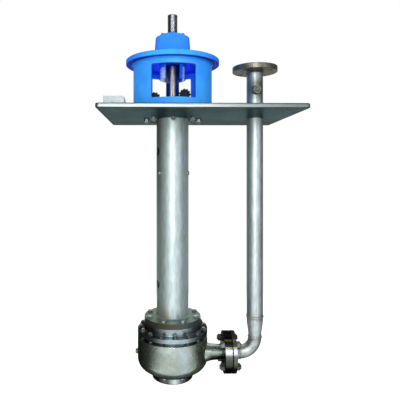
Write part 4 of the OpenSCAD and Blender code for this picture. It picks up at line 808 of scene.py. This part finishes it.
def glow(tree, kind, colour, strength):
    """An emission or background shader of one colour."""
    node = tree.nodes.new(kind)
    feed(tree, colour, node.inputs["Color"])
    feed(tree, strength, node.inputs["Strength"])
    return node.outputs[0]


def blend(tree, share, first, second, out):
    """Send the first shader at share 0 and the second at share 1 to the tree's output."""
    node = tree.nodes.new("ShaderNodeMixShader")
    for value, socket in zip((share, first, second), node.inputs):
        tree.links.new(value, socket)
    tree.links.new(node.outputs[0], out)


def pale_floor():
    """The floor: pale for soft light, and near white where the camera or a reflection sees it."""
    floor = add_object("floor", flat_mesh("floor", 18, 18, FLOOR_Z))
    material, tree, shader = new_material("pale_floor")
    out = shader.outputs[0].links[0].to_socket
    shader.inputs["Base Color"].default_value = (0.86, 0.86, 0.86, 1)
    shader.inputs["Roughness"].default_value = 0.7
    white = glow(tree, "ShaderNodeEmission", (1, 1, 1), 1.12)
    blend(tree, product(tree, seen_share(tree), 0.8), shader.outputs[0], white, out)
    floor.data.materials.append(material)


def studio_world():
    """A world that is white where it is seen and a softer light elsewhere."""
    world = bpy.data.worlds.new("studio")
    scene.world = world
    world.use_nodes = True
    tree = world.node_tree
    tree.nodes.clear()
    out = tree.nodes.new("ShaderNodeOutputWorld").inputs[0]
    soft = glow(tree, "ShaderNodeBackground", (0.93, 0.96, 1.0), 0.62)
    white = glow(tree, "ShaderNodeBackground", (1, 1, 1), 1.0)
    blend(tree, seen_share(tree), soft, white, out)


def turn_to(thing, direction):
    """Point the object's own z axis in a direction."""
    thing.rotation_euler = direction.to_track_quat("Z", "Y").to_euler()


def dark_card(name, centre, width, height, towards, tone=0.03):
    """A dark studio card beside the camera's view, which gives the steel its dark edges."""
    card = add_object(name, flat_mesh(name, width, height))
    material, tree, shader = new_material(name)
    shader.inputs["Base Color"].default_value = (tone, tone * 1.08, tone * 1.05, 1)
    shader.inputs["Roughness"].default_value = 0.9
    card.data.materials.append(material)
    card.location = centre
    turn_to(card, Vector(towards) - Vector(centre))
    card.visible_camera = False
    card.visible_shadow = False
    card.visible_diffuse = False


def lamp(name, place, target, size, watts, colour, shine=True):
    """A rectangular area lamp. Without shine it isn't seen in reflections."""
    data = bpy.data.lights.new(name, "AREA")
    data.shape = "RECTANGLE"
    data.size, data.size_y = size
    data.energy = watts
    data.color = colour
    light = add_object(name, data)
    light.location = place
    turn_to(light, Vector(place) - Vector(target))
    light.visible_glossy = shine


pale_floor()
studio_world()

dark_card("card_left", (-2.3, 0.1, 0.45), 4.4, 4.9, (0, 0, 0.45))
dark_card("card_right", (2.6, 0.1, 0.45), 4.4, 4.9, (0.15, 0, 0.45))
dark_card("card_rear", (0.05, 0.65, -1.31), 4.4, 1.8, (0.05, 0.65, 0.5), 0.05)
dark_card("card_floor_left", (-1.75, -0.5, -1.305), 1.6, 2.6, (-1.75, -0.5, 0.5), 0.04)
dark_card("card_floor_right", (1.95, -0.5, -1.305), 1.6, 2.6, (1.95, -0.5, 0.5), 0.04)
dark_card("card_high_left", (-1.53, -2.5, 1.45), 2.6, 1.3, (0, 0, 0.35))
dark_card("card_high_right", (1.53, -2.5, 1.45), 2.6, 1.3, (0, 0, 0.35))
dark_card("card_top", (0.1, -0.9, 3.0), 5.0, 3.6, (0.1, -0.9, 0.0))

lamp("key", (-0.2, -3.1, 0.3), (0.03, 0, -0.2), (0.8, 2.4), 46, (1.0, 0.99, 0.98))
lamp("fill", (2.6, -2.2, 0.5), (0.05, 0, -0.3), (1.2, 2.0), 12, (0.93, 0.97, 1.0))
lamp("top", (-0.4, -0.6, 2.6), (0.05, 0, 0), (2.4, 2.4), 26, (0.97, 0.99, 1.0), shine=False)
lamp("rear", (0.1, 2.6, -0.45), (0.0, 0, 0.17), (1.2, 0.8), 110, (0.97, 0.98, 1.0), shine=False)
lamp("low", (0.05, -3.0, -0.85), (0.05, 0, 0.15), (1.6, 0.7), 16, (0.95, 0.98, 1.0), shine=False)

# The camera, with its focal length and picture centre in pixels of the photograph
PICTURE_SIDE = 400
SENSOR_WIDTH = 36
FOCAL_LENGTH = 430.9
CENTRE_COLUMN = 165.7
CENTRE_ROW = 170.8

camera_data = bpy.data.cameras.new("camera")
camera_data.sensor_width = SENSOR_WIDTH
camera_data.lens = FOCAL_LENGTH * SENSOR_WIDTH / PICTURE_SIDE
camera_data.shift_x = (PICTURE_SIDE / 2 - CENTRE_COLUMN) / PICTURE_SIDE
camera_data.shift_y = (CENTRE_ROW - PICTURE_SIDE / 2) / PICTURE_SIDE
camera_data.clip_end = 60
camera = add_object("camera", camera_data)
camera.location = (-0.049, -1.6285, -0.1945)
camera.rotation_euler = Vector((0.0142, 0.9999, 0)).to_track_quat("-Z", "Y").to_euler()
scene.camera = camera
